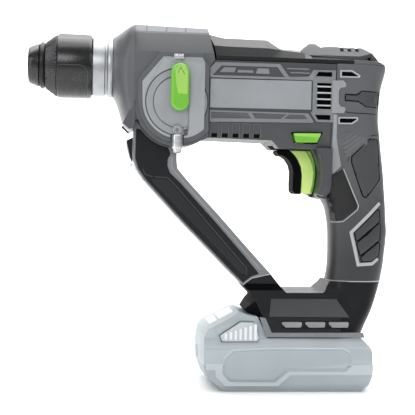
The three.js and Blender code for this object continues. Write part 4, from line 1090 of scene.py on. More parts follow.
def low_vents(tag, s):
    """Five scoops below the motor, each with a black sheet in its lower end as painted shadow in the opening.
    """
    def y_at(z):
        return SIDE_Y - 5 * (197 - z) / 20.5

    z0, z1, half_w, t = 183.9, 194.6, 2.75, 0.35
    outline = [(-half_w, z0), (-half_w, z1), (half_w, z1), (half_w, z0), (half_w - t, z0),
               (half_w - t, z1 - t), (t - half_w, z1 - t), (t - half_w, z0)]
    verts = [(x, s * (y_at(z) + d), z) for d in (0.45, -0.5) for x, z in outline]
    n = len(outline)
    faces = [[i, (i + 1) % n, n + (i + 1) % n, n + i] for i in range(n)]
    faces += [[0, 1, 6, 7], [1, 2, 5, 6], [2, 3, 4, 5]] + [[n + a for a in f] for f in ([7, 6, 1, 0],
                                                                                        [6, 5, 2, 1],
                                                                                   [5, 4, 3, 2])]
    lip = obj_from(f"vent_scoops_{tag}", verts, faces)
    row_of(lip, 5, (7.8, 0, 0), CASE, pivot=(-62, 0, 0))
    place(lip, "housing", "plastic_dark_grey")
    # Black sheets in the scoop openings: painted shadow.
    mouth = stack(f"vent_mouths_{tag}", [[(x, s * (y_at(z) + d), z) for x, z in
                                         ((-2.2, 184.2), (2.2, 184.2), (2.2, 187.4), (-2.2, 187.4))]
                                        for d in (-1.4, -0.9)])
    row_of(mouth, 5, (7.8, 0, 0), VOID, pivot=(-62, 0, 0))
    place(mouth, "housing", "plastic_black")


def screw_plugs():
    """Moulded sleeve round a far-side screw of the body."""
    ring = [(SIDE_Y - 2, 3.7), (SIDE_Y + 0.75, 3.7), (SIDE_Y + 0.75, 4.6), (SIDE_Y + 0.4, 5.0),
            (SIDE_Y - 2, 5.0)]
    place(paint(smooth(turned("body_screw_boss", ring, (-56, 0, 234), "Y", 40)), LIGHT), "housing",
          "plastic_light_grey")


# ------------------------------------------------------------------ top covers


LID_PLAN = [(-10, -26.4), (44, -26.4), (55, -22.8), (62.3, -14.5), (64.4, 0), (62.3, 14.5), (55, 22.8),
            (44, 26.4), (-10, 26.4)]


def cap_section(x, z1, z2, w1=13.5, w2=26.5, wide=30.9, front=(0, 0, 0)):
    pts = [(wide, 240.35, 0), (wide - 0.2, max(240.5, min(243, z2 - 0.5)), 0), (w2, z2, 1), (w1, z1, 2)]
    right = [(x + front[k], y, z) for y, z, k in pts]
    return right + [(a, -b, c) for a, b, c in reversed(right)]


def cap_solid(name, lift=0.0):
    rows = [(-61.8, 260.6, 250.9, 13.5, 26.5, 30.9, (0, -1.4, -4.3)), (-54.5, 258.2, 250.4),
            (-22.5, 257.9, 250.1), (-13.3, 251.9, 249.0), (3.5, 251.2, 247.6), (8.6, 249.6, 245.4),
            (40, 247.3, 244.0, 13.5, 26.3, 30.3),
            (52, 246.2, 243.4, 13, 25.8, 29.4), (60.5, 245.2, 243.2, 12, 23.4, 26.0),
            (65.2, 243.0, 242.2, 10, 18.6, 21.0),
            (67.6, 241.6, 241.4, 8, 13.6, 15.4), (68.75, 240.9, 240.8, 4, 8.6, 9.6)]
    loops = [[(x, y, z + (lift if z > 240.4 else 0)) for x, y, z in cap_section(*row)] for row in rows]
    return stack(name, loops)


def top_covers():
    cap = cap_solid("top_cap_shell")
    cut(cap, turned("t", [(-90, 0), (-90, 25.2), (-4, 25.2), (-4, 0)], (0, 0, 221.9), segments=64),
        block("t", -4, 56, -24, 24, 230, 242.2))
    paint(cap, BLACK, GRIP)
    zone(cap, 1, lambda c, n: c.x > 38)
    soften(cap, 0.6, 3, 10)
    place(cap, "housing", "plastic_black", "top_cap")
    roof = rounded([(3.9, 251.8, 0.5), (8.9, 256.2, 1.5), (13.6, 256.3, 1.5), (16.8, 253.2, 1.2),
                    (22.6, 254.3, 1.5),
                    (48.0, 253.9, 1.5), (60.6, 246.1, 1), (64.6, 243.0, 0.3), (64.6, 241, 0), (3.4, 241, 0),
                    (1.6, 249.4, 0.5)], 1)
    cross = [(-26.6, 240), (26.6, 240), (26.0, 246.6), (20, 252.4), (14.6, 256.6), (-14.6, 256.6),
             (-20, 252.4), (-26.0, 246.6)]
    lid = meet(slab("rear_cover_shell", roof, -28, 28), bar("t", cross, -10, 90),
               stack("t", [[(x, y, z) for x, y in LID_PLAN] for z in (235, 262)]))
    cut(lid, cap_solid("t", 0.05), block("t", 0, 54, -24, 24, 230, 246))
    slits = []
    for low, high in ((-30, -14.6), (14.6, 30)):
        slit = block("t", -1.35, 1.35, low, high, -2.2, 6)
        slits.append(row_of(slit, 3, (5.7, 0, 0), VOID, pivot=(32.6, 0, 252.6)))
    cut(lid, *slits)
    paint(soften(lid, 0.5, 3, 20), DARK)
    place(lid, "housing", "plastic_dark_grey", "rear_top_cover")
    for tag, s in (("near", -1), ("far", 1)):
        seam = wire(f"rear_cover_line_{tag}", [(4.5, s * 26.3, 246.3), (20, s * 26.2, 245.5),
                                               (40, s * 25.9, 244.3),
                                              (52, s * 24.2, 243.7), (60.3, s * 21.6, 243.1)], 0.4)
        place(paint(seam, CASE_DARK), "housing", "plastic_dark_grey")


# ------------------------------------------------------------------ hand grip

GRIP_STATIONS = [
    (79.5, 28.3, 70.2, 17.5, 2.5), (90, 29.8, 72.2, 17.1, 2.4), (100, 30.1, 73.3, 17.0, 2.4),
    (115.5, 29.8, 74.5, 17.5, 2.4), (127, 28.4, 73.6, 18.0, 2.4), (137, 25.6, 72.9, 18.7, 2.5),
    (147, 18, 71.8, 20, 2.6), (160, 10, 70.3, 22.4, 2.8), (178, 4, 67.3, 26.6, 3.0),
                 (190, 0, 65.4, 29.7, 3.1),
    (200, 0, 63.9, 30.9, 3.2), (212, 0, 64.2, 30.9, 3.2), (224, 0, 65.4, 30.9, 3.2),
                 (234.6, 0, 68.2, 30.9, 3.2), (240.1, 0, 68.9, 30.9, 3.2),
]


def eased(stations, per=4):
    """Smooth in-between stations (Catmull-Rom)."""
    out = []
    for i in range(len(stations) - 1):
        p = [stations[max(i - 1, 0)], stations[i], stations[i + 1], stations[min(i + 2, len(stations) - 1)]]
        for k in range(per):
            t = k / per
            out.append([0.5 * (2 * b + (c - a) * t + (2 * a - 5 * b + 4 * c - d) * t * t
                               + (3 * b - a - 3 * c + d) * t ** 3) for a, b, c, d in zip(*p)])
    return out + [list(stations[-1])]


def grip_loops(inset, stations, count=72):
    loops = []
    for z, front, back, w, power in stations:
        middle, reach = (front + back) / 2, (back - front) / 2 - inset
        loop = []
        for i in range(count):
            a = 2 * math.pi * (i + 0.5) / count
            c, s = math.cos(a), math.sin(a)
            loop.append((middle + reach * math.copysign(abs(c) ** (2 / power), c),
                         (w - inset) * math.copysign(abs(s) ** (2 / power), s), z))
        loops.append(loop)
    return loops


def grip():
    stations = eased(GRIP_STATIONS)
    shell = stack("grip_shell", grip_loops(0, stations))
    inner = [[z + (-3 if i == 0 else 3 if i == len(GRIP_STATIONS) - 1 else 0), *rest]
             for i, (z, *rest) in enumerate(GRIP_STATIONS)]
    tools = [stack("t", grip_loops(3, inner, 40)), block("t", -60, BACK_X + 0.3, -60, 60, 203.8, 260),
             block("t", -60, 24.6, -60, 60, 141.5, 204),
             block("t", -60, 20, -60, 60, 60, 260),
             slab("t", [(30.6, 231.2), (38.2, 231.2), (43.0, 231.5), (37.6, 234.6), (30.6, 234.6)], -60, 60),
             slab("t", [(29.9, 197.0), (38.4, 197.0), (42.6, 200.2), (29.9, 200.2)], -60, 60)]
    cut(shell, *tools)
    halves = []
    for tag, side in (("left", -1), ("right", 1)):
        part = paint(smooth(half(shell, f"grip_{tag}_shell", side), 32), GRIP)
        halves.append(place(part, "housing", "plastic_dark_grey", f"grip_{tag}"))
    bpy.data.objects.remove(shell)
    skin = Surface(*halves)
    for tag, s in (("near", -1), ("far", 1)):
        grip_pads(skin, tag, s)


def pad(skin, name, outline, height, s, mat, slot, edge=0.6, step=2.5):
    ob = laid(name, skin, outline, height, edge, s, step)
    paint(ob, mat)
    return place(ob, "housing", slot)


def groove(skin, name, line, s, closed=True, width=0.75):
    """Dark line laid along a panel's edge: painted shadow standing in for the groove there."""
    points = resampled(line + [line[0]] if closed else line, 3, False)
    return pad(skin, name, stripe(points, width), 0.22, s, VOID, "plastic_black", 0.18)


def grip_pads(skin, tag, s):
    dark, black = "plastic_dark_grey", "plastic_black"
    front = rounded([(25.6, 157.6, 0.5), (34.6, 163.4, 0.8), (47.6, 136.4, 1), (47.0, 133.9, 1),
                     (37.4, 125.2, 1),
                     (33.8, 124.5, 1), (29.6, 124.4, 0), (28.2, 133, 0), (25.4, 140, 0)], 0.8)
    pad(skin, f"grip_front_pad_{tag}", front, 0.25, s, BLACK, black)
    line = [(35.4, 163.6), (48.6, 136.4), (47.9, 133.2), (37.9, 124.3), (34.2, 123.7), (30.2, 123.6)]
    pad(skin, f"grip_front_line_{tag}", stripe(resampled(line, 3, False), 0.7), 0.3, s, LINE,
        "plastic_light_grey", 0.15)
    leather = rounded([(41.2, 172.6), (54.2, 185.6), (61.0, 185.2), (64.2, 156.2), (53.9, 142.8),
                       (51.6, 143.9), (41.3, 168.9)], 1.2)
    pad(skin, f"grip_palm_pad_{tag}", leather, 0.35, s, PAD, dark)
    groove(skin, f"grip_palm_line_{tag}", grown(leather, 0.5), s)
    stripe_v = [(65.6, 138.6), (43.9, 116.2), (49.8, 92.0), (60.6, 92.8), (65.4, 96.6)]
    pad(skin, f"grip_light_stripe_{tag}", stripe(resampled(stripe_v, 4, False), 2.5), 0.3, s, LINE,
        "plastic_light_grey", 0.35)
    ribs = [[(46.7, 116.1), (64.9, 134.3), (66.0, 125.4), (48.0, 109.6)],
            [(48.5, 108.0), (66.2, 123.6), (66.4, 111.2), (51.1, 98.9)],
            [(51.6, 97.4), (66.4, 109.4), (65.9, 99.2), (60.8, 95.2), (53.0, 94.6)]]
    for k, r in enumerate(ribs):
        shape = rounded(r, 1.0)
        pad(skin, f"grip_soft_rib_{tag}_{k}", shape, 0.35, s, PAD, dark, 0.5)
        groove(skin, f"grip_rib_line_{tag}_{k}", grown(shape, 0.45), s, width=0.6)
    insert = rounded([(33.4, 218.0), (42.1, 217.8), (46.3, 220.7), (61.2, 220.5), (61.3, 209.4),
                      (49.4, 209.4), (43.5, 213.0), (33.6, 213.2)], 0.6)
    groove(skin, f"rear_insert_line_{tag}", insert, s, width=0.8)
    pad(skin, f"rear_insert_{tag}", grown(insert, -0.6), 0.12, s, DARK, dark, 0.3)
    groove(skin, f"rear_low_line_{tag}", [(33.2, 205.6), (36.4, 204.4), (62.0, 204.2)], s, False, 0.6)
    groove(skin, f"rear_waist_line_{tag}", [(54.6, 188.2), (60.6, 189.4), (63.4, 187.6)], s, False, 0.6)
    groove(skin, f"palm_front_line_{tag}", [(38.2, 168.8), (38.8, 172.4), (41.6, 176.0)], s, False, 0.5)
    hatch_ridges(skin, tag, s)
    for k, (outer, hole) in enumerate(VENT_FRAMES):
        tile(f"rear_vent_frame_{tag}_{k}", rounded(outer, 0.5), s, 31.25, 29.4, LINE, 0.2, [hole])
        # Black sheet behind each rear vent opening: painted shadow.
        hood = slab(f"rear_vent_shadow_{tag}_{k}", grown(hole, 1), s * 28.2, s * 27.8)
        place(paint(soften(hood, 0.1), VOID), "housing", "plastic_black")
    light = rounded([(25.2, 203.0, 0), (28.1, 203.0, 0), (28.3, 186, 1), (33.4, 165.6, 0.5),
                     (27.6, 159.4, 0.5), (26.2, 162, 0.2), (25.4, 184, 0)], 0.3)
    pad(skin, f"grip_light_edge_{tag}", light, 0.3, s, PANEL, "plastic_light_grey", 0.15, 2)


VENT_FRAMES = [
    ([(29.4, 235.4), (38.4, 235.6), (44.6, 232.0), (44.0, 230.3), (29.4, 230.1)],
     [(30.6, 234.5), (38.0, 234.6), (42.8, 231.8), (42.6, 231.2), (30.6, 231.1)]),
    ([(28.8, 201.2), (43.6, 201.5), (43.6, 199.2), (39.2, 196.1), (28.8, 196.0)],
     [(29.9, 200.2), (42.5, 200.5), (42.5, 199.7), (38.8, 197.1), (29.9, 197.0)]),
]


def hatch_ridges(skin, tag, s):
    """Slanting ridges above the palm pad; each is longer than the one in front of it."""
    # unit ridge along (0.8, 0.6), grown from its lower end
    ridge = obj_from(f"hatch_ridges_{tag}", [(x, y, z) for x,
                                             z in ((0, 0), (5.6, 4.0), (5.0, 4.7), (-0.6, 0.7))
                                            for y in (-0.8, 0.8)],
                     [(0, 2, 4, 6), (1, 7, 5, 3), (0, 1, 3, 2), (2, 3, 5, 4), (4, 5, 7, 6), (6, 7, 1, 0)])
    row_of(ridge, 6, (1.25, 0, -3.05), CASE, grow=(0.42, 0, 0.42), pivot=(30.9, 0, 186.6))
    keep = block("t", 29.5, 52, -5, 5, 165, 190.8)
    meet(ridge, keep)
    bm = bmesh.new()
    bm.from_mesh(ridge.data)
    for v in bm.verts:
        base = skin.y(v.co.x / MM, v.co.z / MM, s)
        v.co.y = s * (base + (0.5 if v.co.y * s > 0 else -0.6)) * MM
    bmesh.ops.recalc_face_normals(bm, faces=bm.faces)
    bm.to_mesh(ridge.data)
    bm.free()
    paint(soften(ridge, 0.25, 2), CASE)
    place(ridge, "housing", "plastic_dark_grey")


# ------------------------------------------------------------------ front arm

ARM_OUTLINE = [(-119.7, 194.8, 0), (-120.2, 188, 0), (-120, 167.4, 6), (-117.5, 159.6, 6), (-112.1, 152, 6),
               (-84.5, 122.7, 0), (-47.2, 85.4, 0), (-37.2, 75.9, 0), (-30.7, 81.1, 0), (-16.6, 84.4, 0),
               (-33, 101.9, 0), (-55.1, 126.1, 0), (-80.5, 152.9, 5), (-87.6, 161.2, 5), (-88.2, 167, 3)]


def arm():
    top = [(*p, 0) for p in arc(SEL_X, SEL_Z, CASE_R + 0.35, -90, -154.5, 20)]
    shell = slab("arm_shell", rounded(ARM_OUTLINE + top, 1, 5), -ARM_HW, ARM_HW)
    line = [(-104, 176), (-103.6, 164), (-98.5, 153.5), (-30, 82)]
    cut(shell, slab("t", stripe(line, 13), -12.5, 12.5))
    cut(shell, slab("t", rounded(arm_inlay(0.35), 1.5), -30, -ARM_HW + 1.2),
        slab("t", rounded(arm_inlay(0.35), 1.5), ARM_HW - 1.2, 30))
    both_halves(shell, "arm", 0.9, 4, "housing", "plastic_light_grey", [LIGHT], 40)
    for tag, s, node in (("near", -1, "arm_inlay_left"), ("far", 1, "arm_inlay_right")):
        inlay = slab(f"arm_inlay_{tag}", rounded(arm_inlay(0), 1.5), s * (ARM_HW - 1.1), s * (ARM_HW + 0.2))
        paint(soften(inlay, 0.4, 2), SOFT_BLACK)
        place(inlay, "housing", "plastic_black", node)
        panel = rounded([(-106.9, 152.6, 2), (-103.6, 153.9, 1.5), (-95.4, 153.5, 3), (-88.2, 146.6, 1),
                         (-35.9, 88.2, 1), (-35.6, 84.6, 1.5), (-38.6, 84.4, 1)], 1)
        raised = slab(f"arm_inner_panel_{tag}", panel, s * (ARM_HW - 0.5), s * (ARM_HW + 0.48))
        paint(soften(raised, 0.35, 2), GRIP_BLACK)
        place(raised, "housing", "plastic_black")
        for k, line in enumerate(([(-104.0, 154.6), (-94.8, 154.3), (-87.4, 147.2), (-34.8, 88.4),
                                   (-34.9, 83.6)], [(-112.9, 160.4), (-111.4, 156.4), (-105.4, 154.5)])):
            seam = slab(f"arm_panel_seam_{tag}_{k}", stripe(line, 0.55), s * (ARM_HW + 0.05),
                        s * (ARM_HW + 0.42))
            place(paint(soften(seam, 0.1, 1), DARK), "housing", "plastic_black")
    rear_groove = stripe([(-91.6, 170), (-91.9, 163), (-89.4, 158.6), (-84.4, 153.2), (-24.2, 87.6)], 0.5)
    for tag, s in (("near", -1), ("far", 1)):
        bead = slab(f"arm_rear_line_{tag}", rear_groove, s * (ARM_HW - 0.4), s * (ARM_HW + 0.12))
        place(paint(soften(bead, 0.08, 1), PANEL), "housing", "plastic_light_grey")
    work_light()


def arm_inlay(g):
    return [(-118.2 - g, 189.6 + g, 1), (-118.4 - g, 168), (-116 - g, 160.4), (-110.9 - g, 153.3 - g),
            (-83.6 - g, 124.2 - g), (-38.6 - g, 79.2 - g, 1), (-36.9, 77.9 - g, 0.5), (-31.2 + g, 82.2, 0),
            (-25.4 + g, 84.2, 1), (-37.3 + g, 98 + g), (-59.4 + g, 122.6 + g), (-84.8 + g, 149.8 + g),
            (-93.2 + g, 157.6 + g, 3), (-95.2 + g, 163, 2), (-95 + g, 168), (-93 + g, 171.4 + g, 1)] + [
        (*p, 0) for p in arc(SEL_X, SEL_Z, CASE_R + 1.2 - g, -101, -144, 10)]


def work_light():
    wedge = slab("work_light_hood", rounded([(-125.2, 181.1), (-120.6, 183.5), (-120.6, 165.7),
                                             (-121.1, 165.3)], 0.4),
                 -8, 8)
    place(paint(soften(wedge, 0.6, 3), BLACK), "housing", "plastic_black", "work_light")
    glass = slab("work_light_window", [(-125.35, 179.5), (-126.0, 179.3), (-122.75, 167.7),
                                       (-122.1, 167.7)], -6, 6)
    place(paint(soften(glass, 0.3, 3), LENS), "housing", "lens", "work_light_lens")
    nub = turned("work_light_screw", [(-122.4, 0), (-122.4, 0.9), (-121.9, 1.2), (-119.9, 1.2), (-119.9, 0)],
                 (0, 0, 163.2), "X", 20)
    place(paint(smooth(nub), STEEL), "housing", "steel")


# ------------------------------------------------------------------ foot


def foot():
    w = FOOT_HW
    outline = [(-37, 75.6, 0), (-30.6, 80.7, 0), (-16.4, 84, 0), (-5.8, 71, 1.2), (22.5, 71.2, 3),
               (28.2, 79.2, 0),
               (70.9, 79.2, 0), (70.2, 70, 0), (69.0, 63, 2), (65.5, 53.8, 3), (58.4, 41.4, 1),
               (52.9, 39.3, 1),
               (-19.8, 39.3, 0.5), (-26.4, 54.6, 1.5), (-33.2, 55.4, 1), (-35.6, 57.4, 1), (-31, 62.6, 1.5),
               (-27.2, 65.6, 1.5)]
    cross = [(-w, 36), (w, 36), (w, 54), (w - 8.6, 66.8), (w - 10, 72.6), (w - 15.8, 77), (w - 16, 95),
             (16 - w, 95), (15.8 - w, 77), (10 - w, 72.6), (8.6 - w, 66.8), (-w, 54)]
    shell = meet(slab("foot_shell", rounded(outline, 1, 4), -40, 40), bar("t", cross, -60, 90))
    heel = stack("t", grip_loops(0, eased([(79.4, 24, 70.3, 17.5, 2.5), (72, 20, 68.2, 19.2, 2.6),
                                           (64, 14, 65.5, 21.6, 2.8), (56, 8, 62.1, 24.6, 3),
                                           (47, 0, 57.3, 28, 3.2),
                                           (38, -8, 53, 31, 3.4)], 3), 64))
    meet(shell, join(block("t", -60, 34, -60, 60, 0, 100), heel))
    plan = [(-36.5, -13), (-26, -30), (-20.5, -40), (90, -40), (90, 40), (-20.5, 40), (-26, 30), (-36.5, 13)]
    meet(shell, join(stack("t", [[(x, y, z) for x, y in plan] for z in (30, 66.5)]),
                     block("t", -60, 90, -60, 60, 66, 100)))
    channel = [block("t", -60, 51, -18.6, 18.6, 30, 45), block("t", -60, 51, -22.6, 22.6, 42.8, 47.6)]
    room = meet(slab("t", [(-24, 56), (-20, 50.5), (48, 50.5), (55, 60), (60, 85), (34, 85), (30, 68.4),
                           (-8, 68.4),
                           (-19, 80), (-22, 74)], -14.5, 14.5), block("t", -60, 90, -60, 60, 50.5, 90))
    cut(shell, *channel, room, block("t", 23, 41, -9.5, 9.5, 46, 51.5),
        slab("t", [(-22, 90), (-21, 76), (-18, 60), (-10, 60), (-12, 90)], -8, 8),
        block("t", -10.4, 41.6, -40, -w + 1.2, 46.0, 51.6), block("t", -10.4, 41.6, w - 1.2, 40, 46.0, 51.6))
    halves = both_halves(shell, "foot", 0.9, 3, "housing", "plastic_black", [SOFT_BLACK, MATT], 24)
    for tag, s, node in (("near", -1, "foot_trim_left"), ("far", 1, "foot_trim_right")):
        panel = facet(f"foot_facet_{tag}", [(-17.0, w - 8.55, 66.6), (31.8, w - 8.55, 66.9),
                                            (39.9, w - 0.2, 54.4),
                                            (-19.4, w - 0.2, 54.4)], s, -0.32)
        place(paint(soften(panel, 0.3, 2), PAD), "housing", "plastic_dark_grey")
        strip = slab(f"foot_edge_strip_{tag}",
                     [(-26.6, 54.2), (-21.6, 39.5), (51.8, 39.5), (50.6, 43.2), (-17.4, 42.8),
                                               (-22.2, 53.4)], s * (w - 0.7), s * (w + 0.5))
        place(paint(soften(strip, 0.35, 2), LIGHT), "housing", "plastic_light_grey")
        pill = slab(f"foot_pills_{tag}", rounded([(-7.3, 2.0, 0.6), (6.6, 2.1, 1), (7.5, 1.2, 0.5),
                                                  (6.9, -2.1, 0.6),
                                                 (-4.6, -2.2, 1.2), (-7.5, 0.6, 0.6)], 1), s * (w - 0.9),
                    s * (w + 0.2))
        row_of(pill, 3, (17.4, 0, 0.1), SILVER, pivot=(-2.6, 0, 48.7))
        place(soften(pill, 0.5, 3), "housing", "bright_trim", node)
        groove = slab(f"foot_pill_ribs_{tag}", [(-5.6, -0.16), (5.6, -0.16), (5.6, 0.16), (-5.6, 0.16)],
                      s * (w + 0.05), s * (w + 0.42))
        row_of(groove, 4, (0, 0, 0.8), SILVER, pivot=(0, 0, 0))
        row_of(groove, 3, (17.4, 0, 0.1), SILVER, pivot=(-2.2, 0, 47.5))
        place(groove, "housing", "bright_trim")
    # The foot's front gets the darker matt black: painted shade on a face that the lamps catch.
    for part in halves:
        zone(part, 1, lambda c, n: c.x < -24 and c.z < 82)
    parting_lines()


def parting_lines():
    """Light seam between the grip and the foot, and between the arm and the foot."""
    for tag, s in (("near", -1), ("far", 1)):
        loops = []
        for k in range(25):
            a = math.radians(-84 + 7 * k)
            c, d = math.sin(a), math.cos(a)
            x = 49.25 + 20.95 * math.copysign(abs(c) ** (2 / 2.5), c)
            y = 17.5 * math.copysign(abs(d) ** (2 / 2.5), d)
            loops.append((x, s * (y - 0.05), 79.4))
        seam = wire(f"grip_foot_seam_{tag}", loops, 0.4)
        place(paint(seam, LINE), "housing", "plastic_light_grey")
        collar = wire(f"arm_foot_seam_{tag}", [(-37.2, s * (ARM_HW - 0.1), 75.8),
                                               (-34.8, s * (ARM_HW + 0.05), 78.0),
                                              (-30.6, s * (ARM_HW + 0.05), 81.0),
                                               (-16.7, s * (ARM_HW + 0.05), 84.2)],
                      0.35)
        place(paint(collar, LINE), "housing", "plastic_light_grey")


# ------------------------------------------------------------------ trigger group


def trigger_group():
    front = [(-12.7, 175.4, 0.6), (-11.2, 173.0, 0.6), (-7.6, 172.5, 0), (-3.9, 170.2, 0), (-1.0, 165.7, 0),
             (0.3, 160.5, 0), (0.0, 152, 0), (0.2, 146.6, 1), (1.8, 144.2, 1), (6.1, 143.9, 0.5),
             (6.6, 158, 0), (5.6, 164.5, 0), (2.6, 170.6, 0), (-3, 176.8, 0), (-12.1, 176.9, 1)]
    pad_piece = slab("trigger_front_pad", rounded(front, 0.6), -9.3, 9.3)
    place(paint(soften(pad_piece, 2.4, 6, 50), MATT), "trigger", "plastic_black", "trigger_pad")
    core = [(-2.4, 176.8, 0), (3.1, 170.8, 0), (6, 164.6, 0), (7, 158, 0), (6.5, 144.2, 0), (14.9, 144.4, 1),
            (16.7, 151, 0), (17.5, 160, 0), (16.9, 166, 0), (15.2, 171.6, 0), (12.8, 176.8, 0)]
    body_piece = slab("trigger_body", rounded(core, 0.6), -9, 9)
    place(paint(soften(body_piece, 1.2, 4, 50), TRIGGER_LIME), "trigger", "green", "trigger")
    # Darker green strips along the trigger's rear sides: painted shade.
    painted_side_shade = slab("trigger_side_shade", rounded([(10.9, 176.2, 0), (14.2, 171.3, 0), (16.3, 165.8, 0),
                                                (17.2, 160, 0),
                                               (16.4, 151, 0), (14.8, 144.9, 0), (13.3, 144.9, 0),
                                                (14.8, 151, 0),
                                               (15.6, 160, 0), (14.6, 165.6, 0), (12.6, 170.8, 0),
                                                (9.2, 176.2, 0)],
                                              0.1), -9.12, -8.4)
    place(paint(soften(painted_side_shade, 0.1, 2), GREEN), "trigger", "green")
    place(paint(soften(mirrored(painted_side_shade, "trigger_far_shade"), 0.1, 2), GREEN), "trigger", "green")
    cheek = rounded([(13.9, 178.4, 0), (25.2, 178.4, 0), (25.2, 152, 1), (24.0, 145.4, 2), (20.4, 142.6, 1),
                     (15.4, 144.2, 0.5), (17.6, 150.6, 0), (18.4, 160, 0), (17.8, 166.4, 0),
                     (16.2, 172, 0)], 0.3)
    for tag, s in (("near", -1), ("far", 1)):
        side = slab(f"trigger_cheek_{tag}", cheek, s * 10.6, s * 29.6)
        place(paint(soften(side, 1.6, 4, 50), DARK), "housing", "plastic_dark_grey")
    knob = slab("direction_button_bar", rounded(BUTTON, 1.0), -BODY_HW + 0.2, BODY_HW - 0.2)
    place(paint(soften(knob, 0.9, 3, 50), GREEN), "direction", "green", "direction_button")
    for tag, s in (("near", -1), ("far", 1)):
        (x0, z0), (x1, z1) = BUTTON_FACE
        # Lighter green strip along the button's upper edge: painted highlight.
        brow = slab(f"direction_button_brow_{tag}", [(x0, z0), (x1, z0), (x1 - 0.8, z1), (x0 + 0.8, z1)],
                    s * (BODY_HW - 0.6), s * (BODY_HW - 0.08))
        place(paint(soften(brow, 0.3, 2), LIME), "direction", "green")


# ------------------------------------------------------------------ battery

BATTERY_OUTLINE = [(-36.4, 55.4, 0.5), (-40.8, 56.9, 1.5), (-65.2, 44.4, 3), (-68, 40.6, 2), (-69.6, 30.1, 2),
                   (-69.0, 17.5, 2), (-66.4, 10.6, 2), (-53.4, 0, 1.5), (51.2, 0, 2), (56, 5, 3),
                   (58.8, 11.9, 3),
                   (58.4, 28.8, 4), (56.9, 32.8, 3), (51.4, 38.7, 2), (-20.6, 38.7, 0.5), (-27.4, 54.0, 1.5),
                   (-33.6, 54.6, 1)]
SEAM_Z = 19.0
RELEASE = [(-40.3, 50.4), (-30.9, 50.2), (-26.9, 39.6), (-27.9, 36.6), (-54.0, 36.4), (-55.4, 40.6)]


def battery():
    w = BATTERY_HW
    skin = w - 0.45
    cross = [(4 - w, 0), (w - 4, 0), (skin - 0.6, 6), (skin, 14), (skin, 32), (w - 6, 38.7), (w - 7, 47),
             (w - 12, 60),
             (12 - w, 60), (7 - w, 47), (6 - w, 38.7), (-skin, 32), (-skin, 14), (0.6 - skin, 6)]
    loops = []
    base = rounded(BATTERY_OUTLINE, 1, 5)
    for k in range(-8, 9):
        y = k / 8 * (w + 0.5)
        bow = [(x + 0.0015 * y * y * min(1, max(0, (-28 - x) / 25)) - 0.0011 * y * y * min(1,
                max(0, (x - 30) / 20)), z)
               for x, z in base]
        loops.append([(x, y, z) for x, z in bow])
    whole = meet(stack("battery_shell", loops), bar("t", cross, -90, 80))
    join(whole, block("t", -22, 49.5, -18, 18, 37, 47), block("t", -22, 49.5, -22, 22, 43.2, 47))
    cut(whole, bar("t", [(5.1 - w, 3), (w - 5.1, 3), (w - 4, 8), (w - 4, 30), (w - 6, 35), (6 - w, 35),
                         (4 - w, 30), (4 - w, 8)], -48, 51), block("t", -60, -34, -20, 20, 30, 42))
    for y in (-8, 0, 8):
        cut(whole, block("t", 22, 60, y - 1.2, y + 1.2, 42, 50))
    seat = grown(RELEASE, 0.5)
    cut(whole, slab("t", seat, -50, -w + 9.2), slab("t", seat, w - 9.2, 50))
    for tag, low, high in (("lower", -5, SEAM_Z - 0.12), ("upper", SEAM_Z + 0.12, 90)):
        part = whole.copy()
        part.data = whole.data.copy()
        part.name = f"battery_{tag}_shell"
        bpy.context.scene.collection.objects.link(part)
        meet(part, block("t", -90, 90, -60, 60, low, high))
        paint(soften(part, 0.8, 3, 22), PALE)
        place(part, "battery", "battery_pale", f"battery_{tag}")
    bpy.data.objects.remove(whole)
    for tag, s in (("near", -1), ("far", 1)):
        battery_side(tag, s)
    for k, ((x0, z0), (x1, z1)) in enumerate((((-61.2, 46.45), (-55.4, 49.4)),
                                              ((-53.8, 50.25), (-43.2, 55.65)))):
        key = slab(f"battery_front_key_{k}", [(x0, z0 - 0.8), (x1, z1 - 0.8), (x1 - 0.2, z1 + 0.3),
                                              (x0 - 0.2, z0 + 0.3)],
                   -15, 15)
        place(paint(soften(key, 0.3, 3), WHITE), "battery", "battery_white")
    louvre = block("battery_front_slots", -0.5, 0.6, -9, 9, -0.7, 0.7)
    row_of(louvre, 4, (-0.15, 0, 2.6), PALE_LIGHT, pivot=(-69.3, 0, 22.4))
    place(soften(louvre, 0.2, 2), "battery", "battery_pale")


def battery_tile(name, outline, s, height, mat, bevel=0.3, low=1.2):
    ob = slab(name, outline, s * (BATTERY_HW - low), s * (BATTERY_HW - height))
    paint(soften(ob, bevel, 3), mat)
    return place(ob, "battery", "battery_pale")


